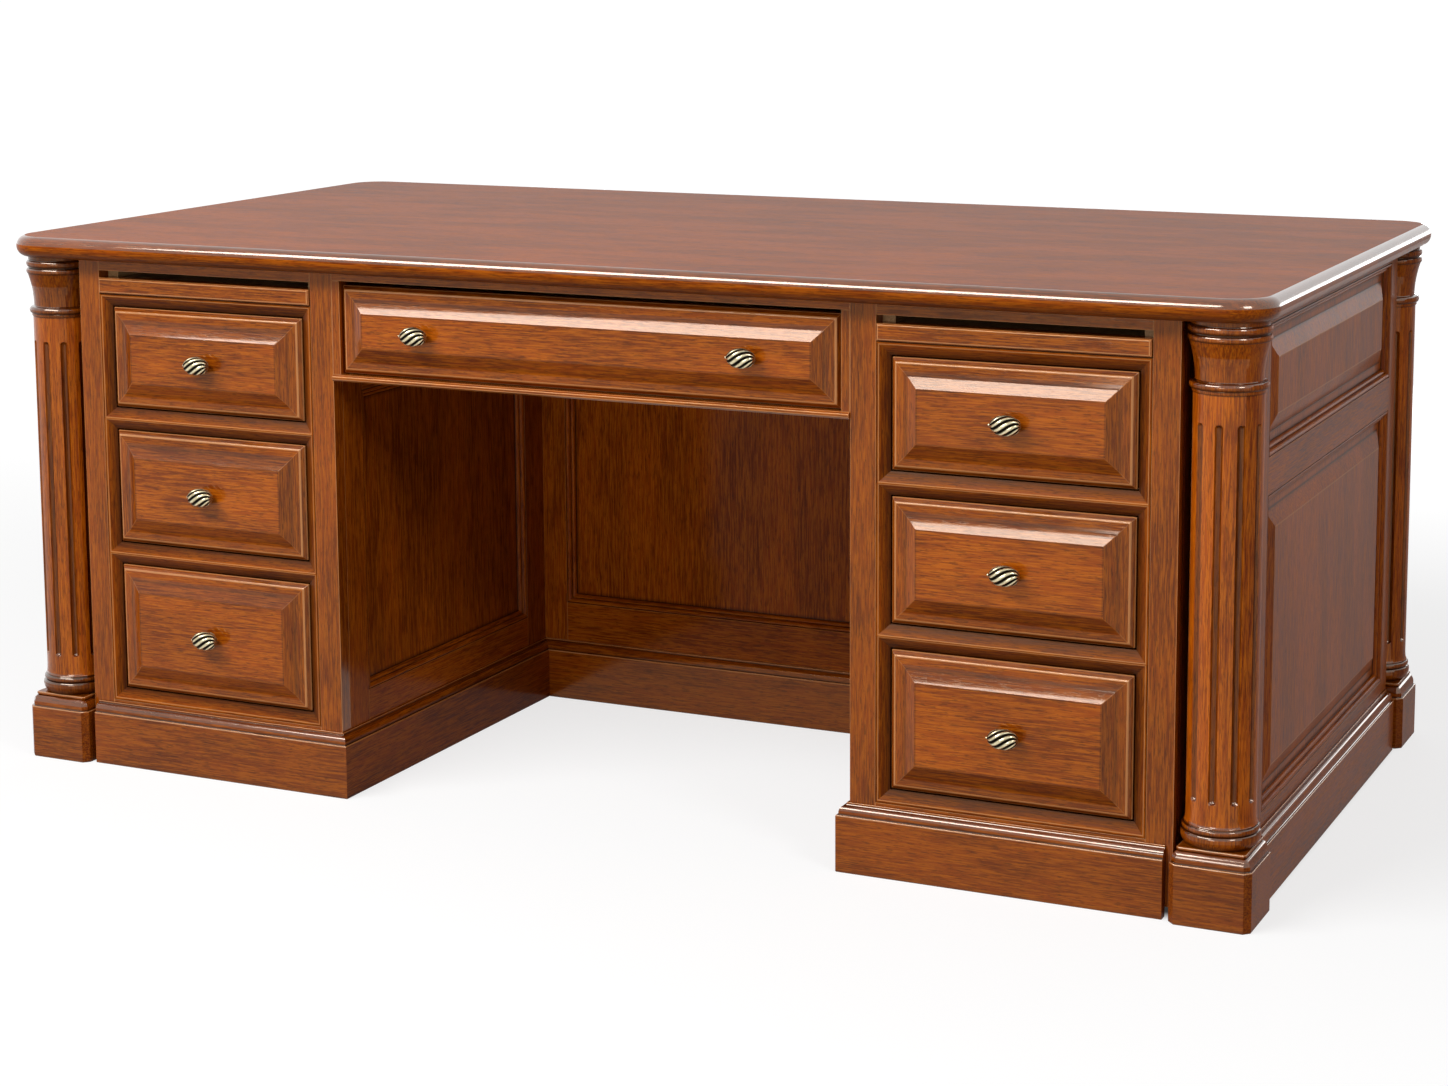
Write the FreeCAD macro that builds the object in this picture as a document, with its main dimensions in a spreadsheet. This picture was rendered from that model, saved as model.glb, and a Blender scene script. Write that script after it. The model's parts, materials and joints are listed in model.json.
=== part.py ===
import FreeCAD
import Part
import Sketcher
import math
import os

# A double pedestal desk with fluted corner columns, raised-field drawers, two writing
# slides and swirl knobs. X runs along the width, the sitter's side faces -Y, Z is up.
# The origin lies on the floor under the centre of the top.

doc = FreeCAD.newDocument("pedestal_desk")
sheet = doc.addObject("Spreadsheet::Sheet", "dims")

SIZES = (
    # whole desk
    ("top_width", "1829"),
    ("top_depth", "965"),
    ("desk_height", "762"),
    ("top_thick", "30"),
    ("top_overhang", "34"),
    ("top_corner_radius", "58"),
    ("bullnose_share", "0.3"),
    # carcass frames
    ("frame_thick", "22"),
    ("frame_lift", "12"),
    ("notch_width", "78"),
    ("post_thick", "22"),
    ("pedestal_lead", "120.5"),
    ("inner_stile", "35"),
    ("outer_stile", "34.5"),
    ("top_rail", "16"),
    ("bottom_rail_show", "4"),
    # bevelled mouldings round the drawer openings
    ("moulding_lip", "3"),
    ("bevel_width", "14"),
    ("bevel_depth", "8"),
    ("ridge_flat", "2"),
    # drawer fronts
    ("front_gap", "2"),
    ("drawer_height_step", "19"),
    ("front_thick", "20"),
    ("front_edge_bevel", "6"),
    ("front_border", "22"),
    ("field_bevel", "14"),
    ("field_raise", "7"),
    # drawer boxes and their runners
    ("box_inset", "4"),
    ("box_lift", "6"),
    ("box_drop", "18"),
    ("box_board", "12"),
    ("box_bottom", "6"),
    ("box_bottom_lift", "8"),
    ("drawer_length", "600"),
    ("runner_thick", "14"),
    ("runner_width", "20"),
    ("running_clear", "0.3"),
    ("partition_thick", "18"),
    ("case_bottom_thick", "16"),
    ("case_bottom_drop", "8"),
    # writing slides
    ("finger_gap", "10"),
    ("slide_front_height", "22"),
    ("slide_front_thick", "22"),
    ("slide_proud", "4"),
    ("slide_clear", "1"),
    ("slide_board_thick", "18"),
    ("slide_length", "420"),
    ("slide_edge_bevel", "2"),
    # centre drawer and the rails round it
    ("centre_strip", "12"),
    ("centre_top_rail", "12"),
    ("centre_top_gap", "6"),
    ("centre_drawer_height", "120"),
    ("centre_drawer_clear", "60"),
    ("centre_runner_width", "40"),
    ("centre_knob_inset", "126"),
    ("bead_rail_height", "9"),
    ("bead_rail_proud", "5"),
    # framed walls: sides, backs, knee sides and modesty panel
    ("side_stile", "36"),
    ("lower_panel_base", "108"),
    ("upper_panel_height", "164"),
    ("mid_rail", "47"),
    ("knee_front_stile", "48"),
    ("knee_mid_stile", "55"),
    ("knee_panel_base", "134"),
    ("knee_top_rail", "172"),
    ("rear_recess", "295"),
    ("modesty_stile", "40"),
    ("modesty_panel_base", "150"),
    ("sticking_outer", "7"),
    ("sticking_inner", "6"),
    ("sticking_step", "5"),
    ("sticking_depth", "10"),
    ("sticking_bevel_share", "0.7"),
    ("panel_thick", "8"),
    ("panel_border", "12"),
    ("panel_bevel", "22"),
    ("panel_raise", "8"),
    # plinths
    ("plinth_proud", "14"),
    ("plinth_moulding", "15"),
    ("plinth_step", "3"),
    ("plinth_round", "8"),
    ("plinth_cap_proud", "3"),
    ("plinth_cap_height", "3"),
    ("plinth_height", "90"),
    ("plinth_gap", "9"),
    # column blocks
    ("block_height", "95"),
    ("block_chamfer", "8"),
    ("block_step", "3"),
    ("block_bevel", "9"),
    ("block_cap_inset", "8"),
    ("block_cap_height", "4"),
    # turned columns, base members from the foot up
    ("column_inset", "27"),
    ("foot_radius", "41"),
    ("torus_radius", "48"),
    ("torus_rise", "18"),
    ("torus_flat", "7"),
    ("waist_radius", "45"),
    ("bead_radius", "46.5"),
    ("bead_rise", "7.5"),
    ("cove_foot_radius", "44.5"),
    ("cove_rise", "13"),
    ("shaft_radius", "42.5"),
    # capital members from the shaft up
    ("capital_height", "86"),
    ("astragal_radius", "47"),
    ("astragal_rise", "14"),
    ("bell_foot_radius", "40.5"),
    ("bell_waist_radius", "42"),
    ("bell_waist_rise", "25"),
    ("bell_radius", "48"),
    ("bell_rise", "22"),
    ("lip_radius", "49.8"),
    ("lip_rise", "10"),
    ("neck_radius", "46.5"),
    ("ring_radius", "49.8"),
    # flutes
    ("flute_mouth", "16"),
    ("flute_floor", "4"),
    ("flute_depth", "4.6"),
    ("flute_foot", "56"),
    ("flute_head", "121"),
    # knobs
    ("knob_length", "41.5"),
    ("knob_height", "26.5"),
    ("knob_stand", "15.5"),
    ("knob_foot_width", "18"),
    ("knob_stem_width", "11"),
    ("reed_depth_share", "0.14"),
    # how far every cut runs past the surface it opens
    ("cut_overrun", "5"),
)

FLUTES = 10
REEDS = 8
KNOB_BANDS = 7
KNOB_STEM_SIDES = 8
KNOB_TWIST_DEGREES = 135.0
UP = FreeCAD.Vector(0, 0, 1)
RIGHT = FreeCAD.Vector(1, 0, 0)

for row, (alias, text) in enumerate(SIZES, start=1):
    sheet.set(f"A{row}", alias)
    sheet.set(f"B{row}", text)
    sheet.setAlias(f"B{row}", alias)
doc.recompute()


class Size:
    """A length: its expression on the sheet together with its present value."""

    def __init__(self, text, value):
        self.text = text
        self.value = value

    def __add__(self, other):
        return Size(f"({self.text} + {other.text})", self.value + other.value)

    def __sub__(self, other):
        return Size(f"({self.text} - {other.text})", self.value - other.value)

    def __neg__(self):
        return Size(f"(0 - {self.text})", -self.value)

    def __mul__(self, other):
        if isinstance(other, Size):
            return Size(f"({self.text} * {other.text})", self.value * other.value)
        return Size(f"({self.text} * {other!r})", self.value * other)

    def __truediv__(self, other):
        if isinstance(other, Size):
            return Size(f"({self.text} / {other.text})", self.value / other.value)
        return Size(f"({self.text} / {other!r})", self.value / other)


class Sizes:
    """Every size on the sheet by its alias."""

    def __init__(self):
        for name, _ in SIZES:
            setattr(self, name, Size(f"dims.{name}", float(sheet.get(name))))


S = Sizes()
ZERO = Size("0", 0.0)


def near(first, second):
    """Whether two coordinates are the same to well under a hair."""
    return abs(first - second) < S.running_clear.value / 100


def shrink(span, inset):
    """A span drawn in by the same inset at both ends."""
    return (span[0] + inset, span[1] - inset)


def set_block(obj, x, y, z):
    """Bind a block's edges and corner to three spans."""
    for prop, (low, high) in zip(("Length", "Width", "Height"), (x, y, z)):
        obj.setExpression(prop, (high - low).text)
    for axis, (low, _) in zip("xyz", (x, y, z)):
        obj.setExpression(f"Placement.Base.{axis}", low.text)


def place(obj, x=None, y=None, z=None, turn=0):
    """Turn a piece about the vertical and bind its position."""
    obj.Placement = FreeCAD.Placement(FreeCAD.Vector(), FreeCAD.Rotation(UP, turn))
    for axis, size in zip("xyz", (x, y, z)):
        if size is not None:
            obj.setExpression(f"Placement.Base.{axis}", size.text)
    return obj


def board(name, x, y, z):
    """A plain sawn board."""
    obj = doc.addObject("Part::Box", name)
    set_block(obj, x, y, z)
    return obj


def group(name, pieces, x=None, y=None, z=None, turn=0):
    """Several separate pieces that make one sub-part."""
    obj = doc.addObject("Part::Compound", name)
    obj.Links = pieces
    return place(obj, x, y, z, turn)


def mirrored(name, source):
    """The left-hand twin of a right-hand piece."""
    obj = doc.addObject("Part::Mirroring", name)
    obj.Source = source
    obj.Normal = RIGHT
    return obj


class Carving:
    """A body worked from blocks and wedges, with eased edges."""

    def __init__(self, name):
        self.body = doc.addObject("PartDesign::Body", name)
        self.steps = 0

    def feature(self, kind):
        """Add the next working step to the body."""
        self.steps += 1
        return self.body.newObject(f"PartDesign::{kind}", f"{self.body.Name}_step_{self.steps}")

    def add(self, x, y, z):
        """Build a block on."""
        set_block(self.feature("AdditiveBox"), x, y, z)
        return self

    def cut(self, x, y, z):
        """Take a block away."""
        set_block(self.feature("SubtractiveBox"), x, y, z)
        return self

    def taper(self, kind, y, near_x, near_z, far_x, far_z):
        """Add or take a wedge between the rectangle at y's low end and the one at its high end."""
        wedge = self.feature(kind)
        values = {"Xmin": near_x[0], "Xmax": near_x[1], "Zmin": near_z[0], "Zmax": near_z[1]}
        values.update({"X2min": far_x[0], "X2max": far_x[1], "Z2min": far_z[0], "Z2max": far_z[1]})
        values.update({"Ymin": y[0], "Ymax": y[1]})
        for prop, size in values.items():
            wedge.setExpression(prop, size.text)
        return self

    def ease(self, kind, size, wanted):
        """Round or chamfer the edges whose bounding box passes a test."""
        doc.recompute()
        base = self.body.Tip
        names = [f"Edge{k}" for k, e in enumerate(base.Shape.Edges, start=1) if wanted(e.BoundBox)]
        step = self.feature(kind)
        step.Base = (base, names)
        step.setExpression("Radius" if kind == "Fillet" else "Size", size.text)
        return self


def in_plane(axis, size):
    """A test for edges that lie in one plane square to an axis."""
    def wanted(box):
        return near(getattr(box, f"{axis}Min"), size.value) and near(getattr(box, f"{axis}Max"), size.value)
    return wanted


def profile(body, points):
    """A closed sketch in the XZ plane through (radius, height) points."""
    sketch = body.newObject("Sketcher::SketchObject", f"{body.Name}_profile")
    planes = {plane.Role: plane for plane in body.Origin.OriginFeatures}
    sketch.AttachmentSupport = [(planes["XZ_Plane"], "")]
    sketch.MapMode = "FlatFace"
    corners = [FreeCAD.Vector(across.value, up.value, 0) for across, up in points]
    for k, corner in enumerate(corners):
        sketch.addGeometry(Part.LineSegment(corner, corners[(k + 1) % len(corners)]))
    for k, (across, up) in enumerate(points):
        sketch.addConstraint(Sketcher.Constraint("Coincident", (k - 1) % len(points), 2, k, 1))
        for kind, line, size in (("DistanceX", -2, across), ("DistanceY", -1, up)):
            if size is ZERO:
                sketch.addConstraint(Sketcher.Constraint("PointOnObject", k, 1, line))
                continue
            index = sketch.addConstraint(Sketcher.Constraint(kind, -1, 1, k, 1, size.value))
            sketch.renameConstraint(index, f"{kind}_{k}")
            sketch.setExpression(f"Constraints.{kind}_{k}", size.text)
    return sketch


# planes and levels shared by many pieces
SIDE = S.top_width / 2 - S.top_overhang
FACE = S.top_depth / 2 - S.top_overhang
FRONT = -FACE
INSIDE = FACE - S.frame_thick
# a pedestal is wider than half of the kneehole by the lead, so both follow the desk's width
KNEE = (SIDE - S.pedestal_lead) / 2
NOTCH_X = SIDE - S.notch_width
NOTCH_Y = FACE - S.notch_width
UNDER = S.desk_height - S.top_thick
RAIL_Z = UNDER - S.top_rail
SLIDE_TOP = RAIL_Z - S.finger_gap
SLIDE_BASE = SLIDE_TOP - S.slide_front_height
MOULDING_TOP = SLIDE_BASE - S.slide_clear
MOULDING_BASE = S.plinth_height + S.bottom_rail_show
PLINTH_FACE = S.plinth_height - S.plinth_moulding
WALL = (ZERO, S.frame_thick)
FULL_HEIGHT = (S.frame_lift, UNDER)
OPENING_X = (KNEE + S.inner_stile, NOTCH_X - S.outer_stile)
BEVEL_X = shrink(OPENING_X, S.moulding_lip)
CLEAR_X = shrink(BEVEL_X, S.bevel_width)
DRAWER_X = shrink(CLEAR_X, S.front_gap)
MODESTY = FACE - S.rear_recess - S.frame_thick
CENTRE_LENGTH = MODESTY - FRONT - S.front_thick - S.centre_drawer_clear

# clear heights of the three openings of a pedestal, counted from the top down; the drawers
# fill the pedestal, and each is higher than the one above it by the same step
RIDGE = S.bevel_width * 2 + S.ridge_flat
clear_top = MOULDING_TOP - S.moulding_lip - S.bevel_width
clear_bottom = MOULDING_BASE + S.moulding_lip + S.bevel_width
clear_height = (clear_top - clear_bottom - RIDGE * 2) / 3 - S.drawer_height_step
CLEAR_Z = []
for _ in range(3):
    CLEAR_Z.append((clear_top - clear_height, clear_top))
    clear_top = clear_top - clear_height - RIDGE
    clear_height = clear_height + S.drawer_height_step


def sticking(name, x, z):
    """A double-bead moulding round the inside of a framed opening, mitred at the corners."""
    step = (-S.cut_overrun, S.sticking_step)
    through = (-S.cut_overrun, S.frame_thick + S.cut_overrun)
    inner_x = shrink(x, S.sticking_outer)
    inner_z = shrink(z, S.sticking_outer)
    ring = Carving(name)
    ring.add(x, (ZERO, S.sticking_depth), z)
    ring.cut(inner_x, step, inner_z)
    ring.cut(shrink(inner_x, S.sticking_inner), through, shrink(inner_z, S.sticking_inner))

    def outer_bead(box):
        return in_plane("Y", ZERO)(box) and box.XMin > x[0].value and box.XMax < x[1].value \
            and box.ZMin > z[0].value and box.ZMax < z[1].value

    def inner_bead(box):
        return in_plane("Y", S.sticking_step)(box) and box.XMin > inner_x[0].value \
            and box.XMax < inner_x[1].value and box.ZMin > inner_z[0].value and box.ZMax < inner_z[1].value

    ring.ease("Chamfer", S.sticking_step * S.sticking_bevel_share, outer_bead)
    ring.ease("Chamfer", (S.sticking_depth - S.sticking_step) * S.sticking_bevel_share, inner_bead)
    return ring.body


def raised_panel(name, x, z):
    """A panel with a field raised inside a wide bevel, facing -Y."""
    margin = S.sticking_outer + S.sticking_inner + S.panel_border
    bevel_x = shrink(x, margin)
    bevel_z = shrink(z, margin)
    panel = Carving(name)
    panel.add(x, (S.sticking_depth, S.sticking_depth + S.panel_thick), z)
    panel.taper(
        "AdditiveWedge", (S.sticking_depth - S.panel_raise, S.sticking_depth),
        shrink(bevel_x, S.panel_bevel), shrink(bevel_z, S.panel_bevel), bevel_x, bevel_z,
    )
    return panel.body


def flat_panel(name, x, z):
    """A plain panel behind the sticking."""
    return board(name, x, (S.sticking_depth, S.sticking_depth + S.panel_thick), z)


def frame_boards(name, boards):
    """The stiles and rails of a frame, given as spans across and up."""
    return [board(f"{name}_board_{k}", x, WALL, z) for k, (x, z) in enumerate(boards)]


def stickings(name, openings):
    """The sticking of each opening of a frame."""
    return [sticking(f"{name}_sticking_{k}", x, z) for k, (x, z) in enumerate(openings)]


nodes = []


def keep(obj, name):
    """Name a finished sub-part and list it."""
    obj.Label = name
    nodes.append(obj)
    return obj


def keep_pair(right, name):
    """Keep a right-hand piece and its mirrored left-hand twin as two sub-parts."""
    keep(right, f"right_{name}")
    keep(mirrored(f"left_{name}", right), f"left_{name}")


def keep_both(right, name):
    """Keep right-hand pieces and their mirrored twins as one sub-part."""
    keep(group(name, [right, mirrored(f"{name}_twin", right)]), name)


# the top: one board, rounded corners, both edges eased to a bullnose
top = Carving("desk_top")
top.add((-S.top_width / 2, S.top_width / 2), (-S.top_depth / 2, S.top_depth / 2), (UNDER, S.desk_height))
top.ease(
    "Fillet", S.top_corner_radius,
    lambda b: near(b.ZMin, UNDER.value) and near(b.ZMax, S.desk_height.value),
)
top.ease(
    "Chamfer", S.top_thick * S.bullnose_share,
    lambda b: in_plane("Z", UNDER)(b) or in_plane("Z", S.desk_height)(b),
)
keep(top.body, "desk_top")

# front frames: two stiles, a top rail over the writing slide and a bottom rail
front_boards = (
    ((KNEE, OPENING_X[0]), FULL_HEIGHT),
    ((OPENING_X[1], NOTCH_X), FULL_HEIGHT),
    (OPENING_X, (RAIL_Z, UNDER)),
    (OPENING_X, (S.frame_lift, MOULDING_BASE)),
)
keep_pair(group("right_front_frame", frame_boards("front", front_boards), y=FRONT), "front_frame")

# bevelled moulding round the three drawer openings, meeting in ridges between them
moulding = Carving("right_drawer_moulding")
moulding.add(OPENING_X, WALL, (MOULDING_BASE, MOULDING_TOP))
for clear_z in CLEAR_Z:
    bevel_z = shrink(clear_z, -S.bevel_width)
    moulding.taper("SubtractiveWedge", (ZERO, S.bevel_depth), BEVEL_X, bevel_z, CLEAR_X, clear_z)
    moulding.cut(CLEAR_X, (ZERO, S.frame_thick + S.cut_overrun), clear_z)
keep_pair(place(moulding.body, y=FRONT), "drawer_moulding")

# centre front rails: top rail, side strips, half-round bead rail below the drawer
centre_top = UNDER - S.centre_top_rail
centre_drawer_top = centre_top - S.centre_top_gap
centre_drawer_base = centre_drawer_top - S.centre_drawer_height
bead_top = centre_drawer_base - S.front_gap
bead_base = bead_top - S.bead_rail_height
knee_span = (-KNEE, KNEE)
bead = Carving("bead_rail")
bead.add(knee_span, (-S.bead_rail_proud, S.frame_thick), (bead_base, bead_top))
bead.ease(
    "Chamfer", S.bead_rail_height * S.bullnose_share,
    lambda b: in_plane("Y", -S.bead_rail_proud)(b)
    and (in_plane("Z", bead_base)(b) or in_plane("Z", bead_top)(b)),
)
centre_pieces = [
    board("centre_rail", knee_span, WALL, (centre_top, UNDER)),
    board("centre_strip_right", (KNEE - S.centre_strip, KNEE), WALL, (bead_top, centre_top)),
    board("centre_strip_left", (-KNEE, S.centre_strip - KNEE), WALL, (bead_top, centre_top)),
    bead.body,
]
keep(group("centre_front_rails", centre_pieces, y=FRONT), "centre_front_rails")

# side frames and their raised panels, facing +X
side_x = (-NOTCH_Y, NOTCH_Y)
side_open = shrink(side_x, S.side_stile)
mid_rail_base = RAIL_Z - S.upper_panel_height - S.mid_rail
lower_z = (S.lower_panel_base, mid_rail_base)
upper_z = (mid_rail_base + S.mid_rail, RAIL_Z)


def panelled_boards(x, opening):
    """Stiles and rails of a wall with a lower and an upper panel."""
    return (
        ((x[0], opening[0]), FULL_HEIGHT),
        ((opening[1], x[1]), FULL_HEIGHT),
        (opening, (S.frame_lift, lower_z[0])),
        (opening, (lower_z[1], upper_z[0])),
        (opening, (upper_z[1], UNDER)),
    )


side_openings = ((side_open, lower_z), (side_open, upper_z))
side_frame = frame_boards("side", panelled_boards(side_x, side_open))
keep_pair(group("right_side_frame", side_frame, x=SIDE, turn=90), "side_frame")
side_panels = [raised_panel(f"side_panel_{k}", x, z) for k, (x, z) in enumerate(side_openings)]
keep_pair(group("right_side_panels", side_panels, x=SIDE, turn=90), "side_panels")
side_mouldings = group("right_side_mouldings", stickings("side", side_openings), x=SIDE, turn=90)
keep_both(side_mouldings, "side_panel_mouldings")

# back frames and panels of the pedestals, facing +Y
back_x = (-NOTCH_X, -KNEE)
back_open = shrink(back_x, S.side_stile)
back_openings = ((back_open, lower_z), (back_open, upper_z))
back_frame = frame_boards("back", panelled_boards(back_x, back_open))
keep_pair(group("right_back_frame", back_frame, y=FACE, turn=180), "back_frame")
back_panels = [raised_panel(f"back_panel_{k}", x, z) for k, (x, z) in enumerate(back_openings)]
keep_both(group("right_back_panels", back_panels, y=FACE, turn=180), "back_panels")
back_mouldings = group("right_back_mouldings", stickings("back", back_openings), y=FACE, turn=180)
keep_both(back_mouldings, "back_panel_mouldings")

# knee frames between the front and back frames, with one panel before and one behind the
# modesty panel, facing the kneehole
knee_z = (S.knee_panel_base, UNDER - S.knee_top_rail)
knee_fore = (S.knee_mid_stile - MODESTY, INSIDE - S.knee_front_stile)
knee_rear = (-knee_fore[1], -MODESTY - S.frame_thick - S.modesty_stile)
knee_boards = (
    ((knee_fore[1], INSIDE), FULL_HEIGHT),
    ((knee_rear[1], knee_fore[0]), FULL_HEIGHT),
    ((-INSIDE, knee_rear[0]), FULL_HEIGHT),
    (knee_fore, (S.frame_lift, knee_z[0])),
    (knee_fore, (knee_z[1], UNDER)),
    (knee_rear, (S.frame_lift, knee_z[0])),
    (knee_rear, (knee_z[1], UNDER)),
)
knee_openings = ((knee_fore, knee_z), (knee_rear, knee_z))
keep_pair(group("right_knee_frame", frame_boards("knee", knee_boards), x=KNEE, turn=-90), "knee_frame")
knee_panels = [flat_panel(f"knee_panel_{k}", x, z) for k, (x, z) in enumerate(knee_openings)]
keep_both(group("right_knee_panels", knee_panels, x=KNEE, turn=-90), "knee_panels")
knee_mouldings = group("right_knee_mouldings", stickings("knee", knee_openings), x=KNEE, turn=-90)

# modesty frame and panel across the kneehole
modesty_x = shrink(knee_span, S.modesty_stile)
modesty_z = (S.modesty_panel_base, knee_z[1])
above_plinth = (S.plinth_height, UNDER)
modesty_boards = (
    ((-KNEE, modesty_x[0]), above_plinth),
    ((modesty_x[1], KNEE), above_plinth),
    (modesty_x, (S.plinth_height, modesty_z[0])),
    (modesty_x, (modesty_z[1], UNDER)),
    (shrink(knee_span, S.plinth_proud), (S.frame_lift, S.plinth_height)),
)
keep(group("modesty_frame", frame_boards("modesty", modesty_boards), y=MODESTY), "modesty_frame")
modesty_moulding = group("modesty_moulding", stickings("modesty", ((modesty_x, modesty_z),)), y=MODESTY)
kneehole_mouldings = [knee_mouldings, mirrored("left_knee_mouldings", knee_mouldings), modesty_moulding]
keep(group("kneehole_mouldings", kneehole_mouldings), "kneehole_mouldings")
modesty_board = flat_panel("modesty_board", modesty_x, modesty_z)
keep(group("modesty_panel", [modesty_board], y=MODESTY), "modesty_panel")

# corner posts: two boards that close each notch behind a column
post_wing = (FRONT + S.frame_thick, S.post_thick - NOTCH_Y)
post_pieces = [
    board("post_wing", (NOTCH_X - S.post_thick, NOTCH_X), post_wing, FULL_HEIGHT),
    board("post_web", (NOTCH_X, SIDE - S.frame_thick), (-NOTCH_Y, S.post_thick - NOTCH_Y), FULL_HEIGHT),
]
front_right_post = group("front_right_post", post_pieces)
front_left_post = mirrored("front_left_post", front_right_post)
post_pairs = [front_right_post, front_left_post]
rear_posts = group("rear_posts", post_pairs, turn=180)
keep(group("corner_posts", post_pairs + [rear_posts]), "corner_posts")


# plinths: a plain face, a stepped quarter-round and a thin cap against the frames
def plinth_tiers(carving, x_at, y_at):
    """Build the three tiers of a plinth; the spans are given as functions of the projection."""
    step_proud = S.plinth_proud - S.plinth_step
    cap_base = S.plinth_height - S.plinth_cap_height
    carving.add(x_at(S.plinth_proud), y_at(S.plinth_proud), (ZERO, PLINTH_FACE))
    carving.add(x_at(step_proud), y_at(step_proud), (PLINTH_FACE, cap_base))
    return cap_base, step_proud


def cap(carving, x_at, y_at):
    """Lay the thin cap on a plinth."""
    cap_z = (S.plinth_height - S.plinth_cap_height, S.plinth_height)
    carving.add(x_at(S.plinth_cap_proud), y_at(S.plinth_cap_proud), cap_z)


def pedestal_x(proud):
    """Width of a pedestal plinth at one projection."""
    return (KNEE - proud, SIDE + proud)


def pedestal_y(proud):
    """Depth of a pedestal plinth at one projection."""
    return (FRONT - proud, FACE + proud)


plinth = Carving("right_plinth")
plinth_cap_base, _ = plinth_tiers(plinth, pedestal_x, pedestal_y)
plinth.ease("Fillet", S.plinth_round, in_plane("Z", plinth_cap_base))
cap(plinth, pedestal_x, pedestal_y)
through_z = (-S.cut_overrun, S.plinth_height + S.cut_overrun)
beyond = S.plinth_proud + S.cut_overrun
plinth.cut((KNEE, SIDE), (FRONT, FACE), through_z)
corner_x = (NOTCH_X - S.plinth_gap, SIDE + beyond)
corner_near = NOTCH_Y - S.plinth_gap
plinth.cut(corner_x, (FRONT - beyond, -corner_near), through_z)
plinth.cut(corner_x, (corner_near, FACE + beyond), through_z)
keep_pair(plinth.body, "plinth")


def modesty_x_at(proud):
    """Width of the modesty plinth at one projection, from knee plinth to knee plinth."""
    return (proud - KNEE, KNEE - proud)


def modesty_y_at(proud):
    """Depth of the modesty plinth at one projection."""
    return (-proud, ZERO)


skirt = Carving("modesty_skirt")
skirt_cap_base, skirt_proud = plinth_tiers(skirt, modesty_x_at, modesty_y_at)
skirt.ease(
    "Fillet", S.plinth_round, lambda b: in_plane("Z", skirt_cap_base)(b) and in_plane("Y", -skirt_proud)(b),
)
cap(skirt, modesty_x_at, modesty_y_at)
skirts = [
    group("fore_skirt", [skirt.body], y=MODESTY),
    group("rear_skirt", [skirt.body], y=MODESTY + S.frame_thick, turn=180),
]
keep(group("modesty_plinths", skirts), "modesty_plinths")

# column blocks: chamfered corners, a step, a splay and a cap under the column
AXIS_X = SIDE - S.column_inset
AXIS_Y = FACE - S.column_inset
block_half = S.notch_width - S.column_inset
block = Carving("column_block")


def square(half):
    """A span centred on the column axis."""
    return (-half, half)


block_tier = block_half - S.block_step
block_cap = block_half - S.block_cap_inset
block_cap_base = S.block_height - S.block_cap_height
block.add(square(block_half), square(block_half), (ZERO, PLINTH_FACE))
block.add(square(block_tier), square(block_tier), (PLINTH_FACE, block_cap_base))
block.ease("Chamfer", S.block_chamfer, lambda b: b.ZLength > S.block_chamfer.value)
block.ease("Chamfer", S.block_bevel, in_plane("Z", block_cap_base))
block.add(square(block_cap), square(block_cap), (block_cap_base, S.block_height))
corners = (("right", AXIS_X, "front", -AXIS_Y), ("left", -AXIS_X, "front", -AXIS_Y))
corners += (("right", AXIS_X, "back", AXIS_Y), ("left", -AXIS_X, "back", AXIS_Y))
blocks = [group(f"{end}_{hand}_block", [block.body], x=x, y=y) for hand, x, end, y in corners]
keep(group("column_blocks", blocks), "column_blocks")

# turned columns: foot torus, bead, cove, shaft, astragal, bell, lip and ring
column_height = UNDER - S.block_height
torus_ease = (S.torus_rise - S.torus_flat) / 2
bead_z = S.torus_rise
cove_z = bead_z + S.bead_rise
shaft_z = cove_z + S.cove_rise
astragal_z = column_height - S.capital_height
bell_z = astragal_z + S.astragal_rise
bell_waist_z = bell_z + S.bell_waist_rise
bell_top = bell_waist_z + S.bell_rise
neck_z = bell_top + S.lip_rise
column_steps = [
    (ZERO, ZERO),
    (S.foot_radius, ZERO),
    (S.torus_radius, torus_ease),
    (S.torus_radius, S.torus_rise - torus_ease),
    (S.waist_radius, bead_z),
    (S.bead_radius, bead_z + S.bead_rise / 2),
    (S.cove_foot_radius, cove_z),
    (S.shaft_radius, shaft_z),
    (S.shaft_radius, astragal_z),
    (S.astragal_radius, astragal_z + S.astragal_rise / 2),
    (S.bell_foot_radius, bell_z),
    (S.bell_waist_radius, bell_waist_z),
    (S.bell_radius, bell_top),
    (S.lip_radius, bell_top + S.lip_rise / 2),
    (S.neck_radius, neck_z),
    (S.ring_radius, (neck_z + column_height) / 2),
    (S.neck_radius, column_height),
    (ZERO, column_height),
]
column = Carving("column")
column_sketch = profile(column.body, column_steps)
turning = column.feature("Revolution")
turning.Profile = column_sketch
turning.ReferenceAxis = (column_sketch, ["V_Axis"])
turning.Angle = 360
column_sketch.Visibility = False
doc.recompute()

# one flute cut with sloping sides and ends, repeated round the shaft
flute_y = (-S.shaft_radius - S.cut_overrun, S.flute_depth - S.shaft_radius)
flute_slope = (S.flute_mouth - S.flute_floor) / 2
flute_z = (S.flute_foot, column_height - S.flute_head)
column.taper(
    "SubtractiveWedge", flute_y,
    (-S.flute_mouth / 2, S.flute_mouth / 2), flute_z,
    (-S.flute_floor / 2, S.flute_floor / 2), shrink(flute_z, flute_slope),
)
doc.recompute()
flute = column.body.Tip
flutes = column.feature("PolarPattern")
flutes.Originals = [flute]
axes = {axis.Role: axis for axis in column.body.Origin.OriginFeatures}
flutes.Axis = (axes["Z_Axis"], [""])
flutes.Angle = 360
flutes.Occurrences = FLUTES
column.body.Tip = flutes
columns = [
    group(f"{end}_{hand}_column", [column.body], x=x, y=y, z=S.block_height)
    for hand, x, end, y in corners
]
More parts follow.
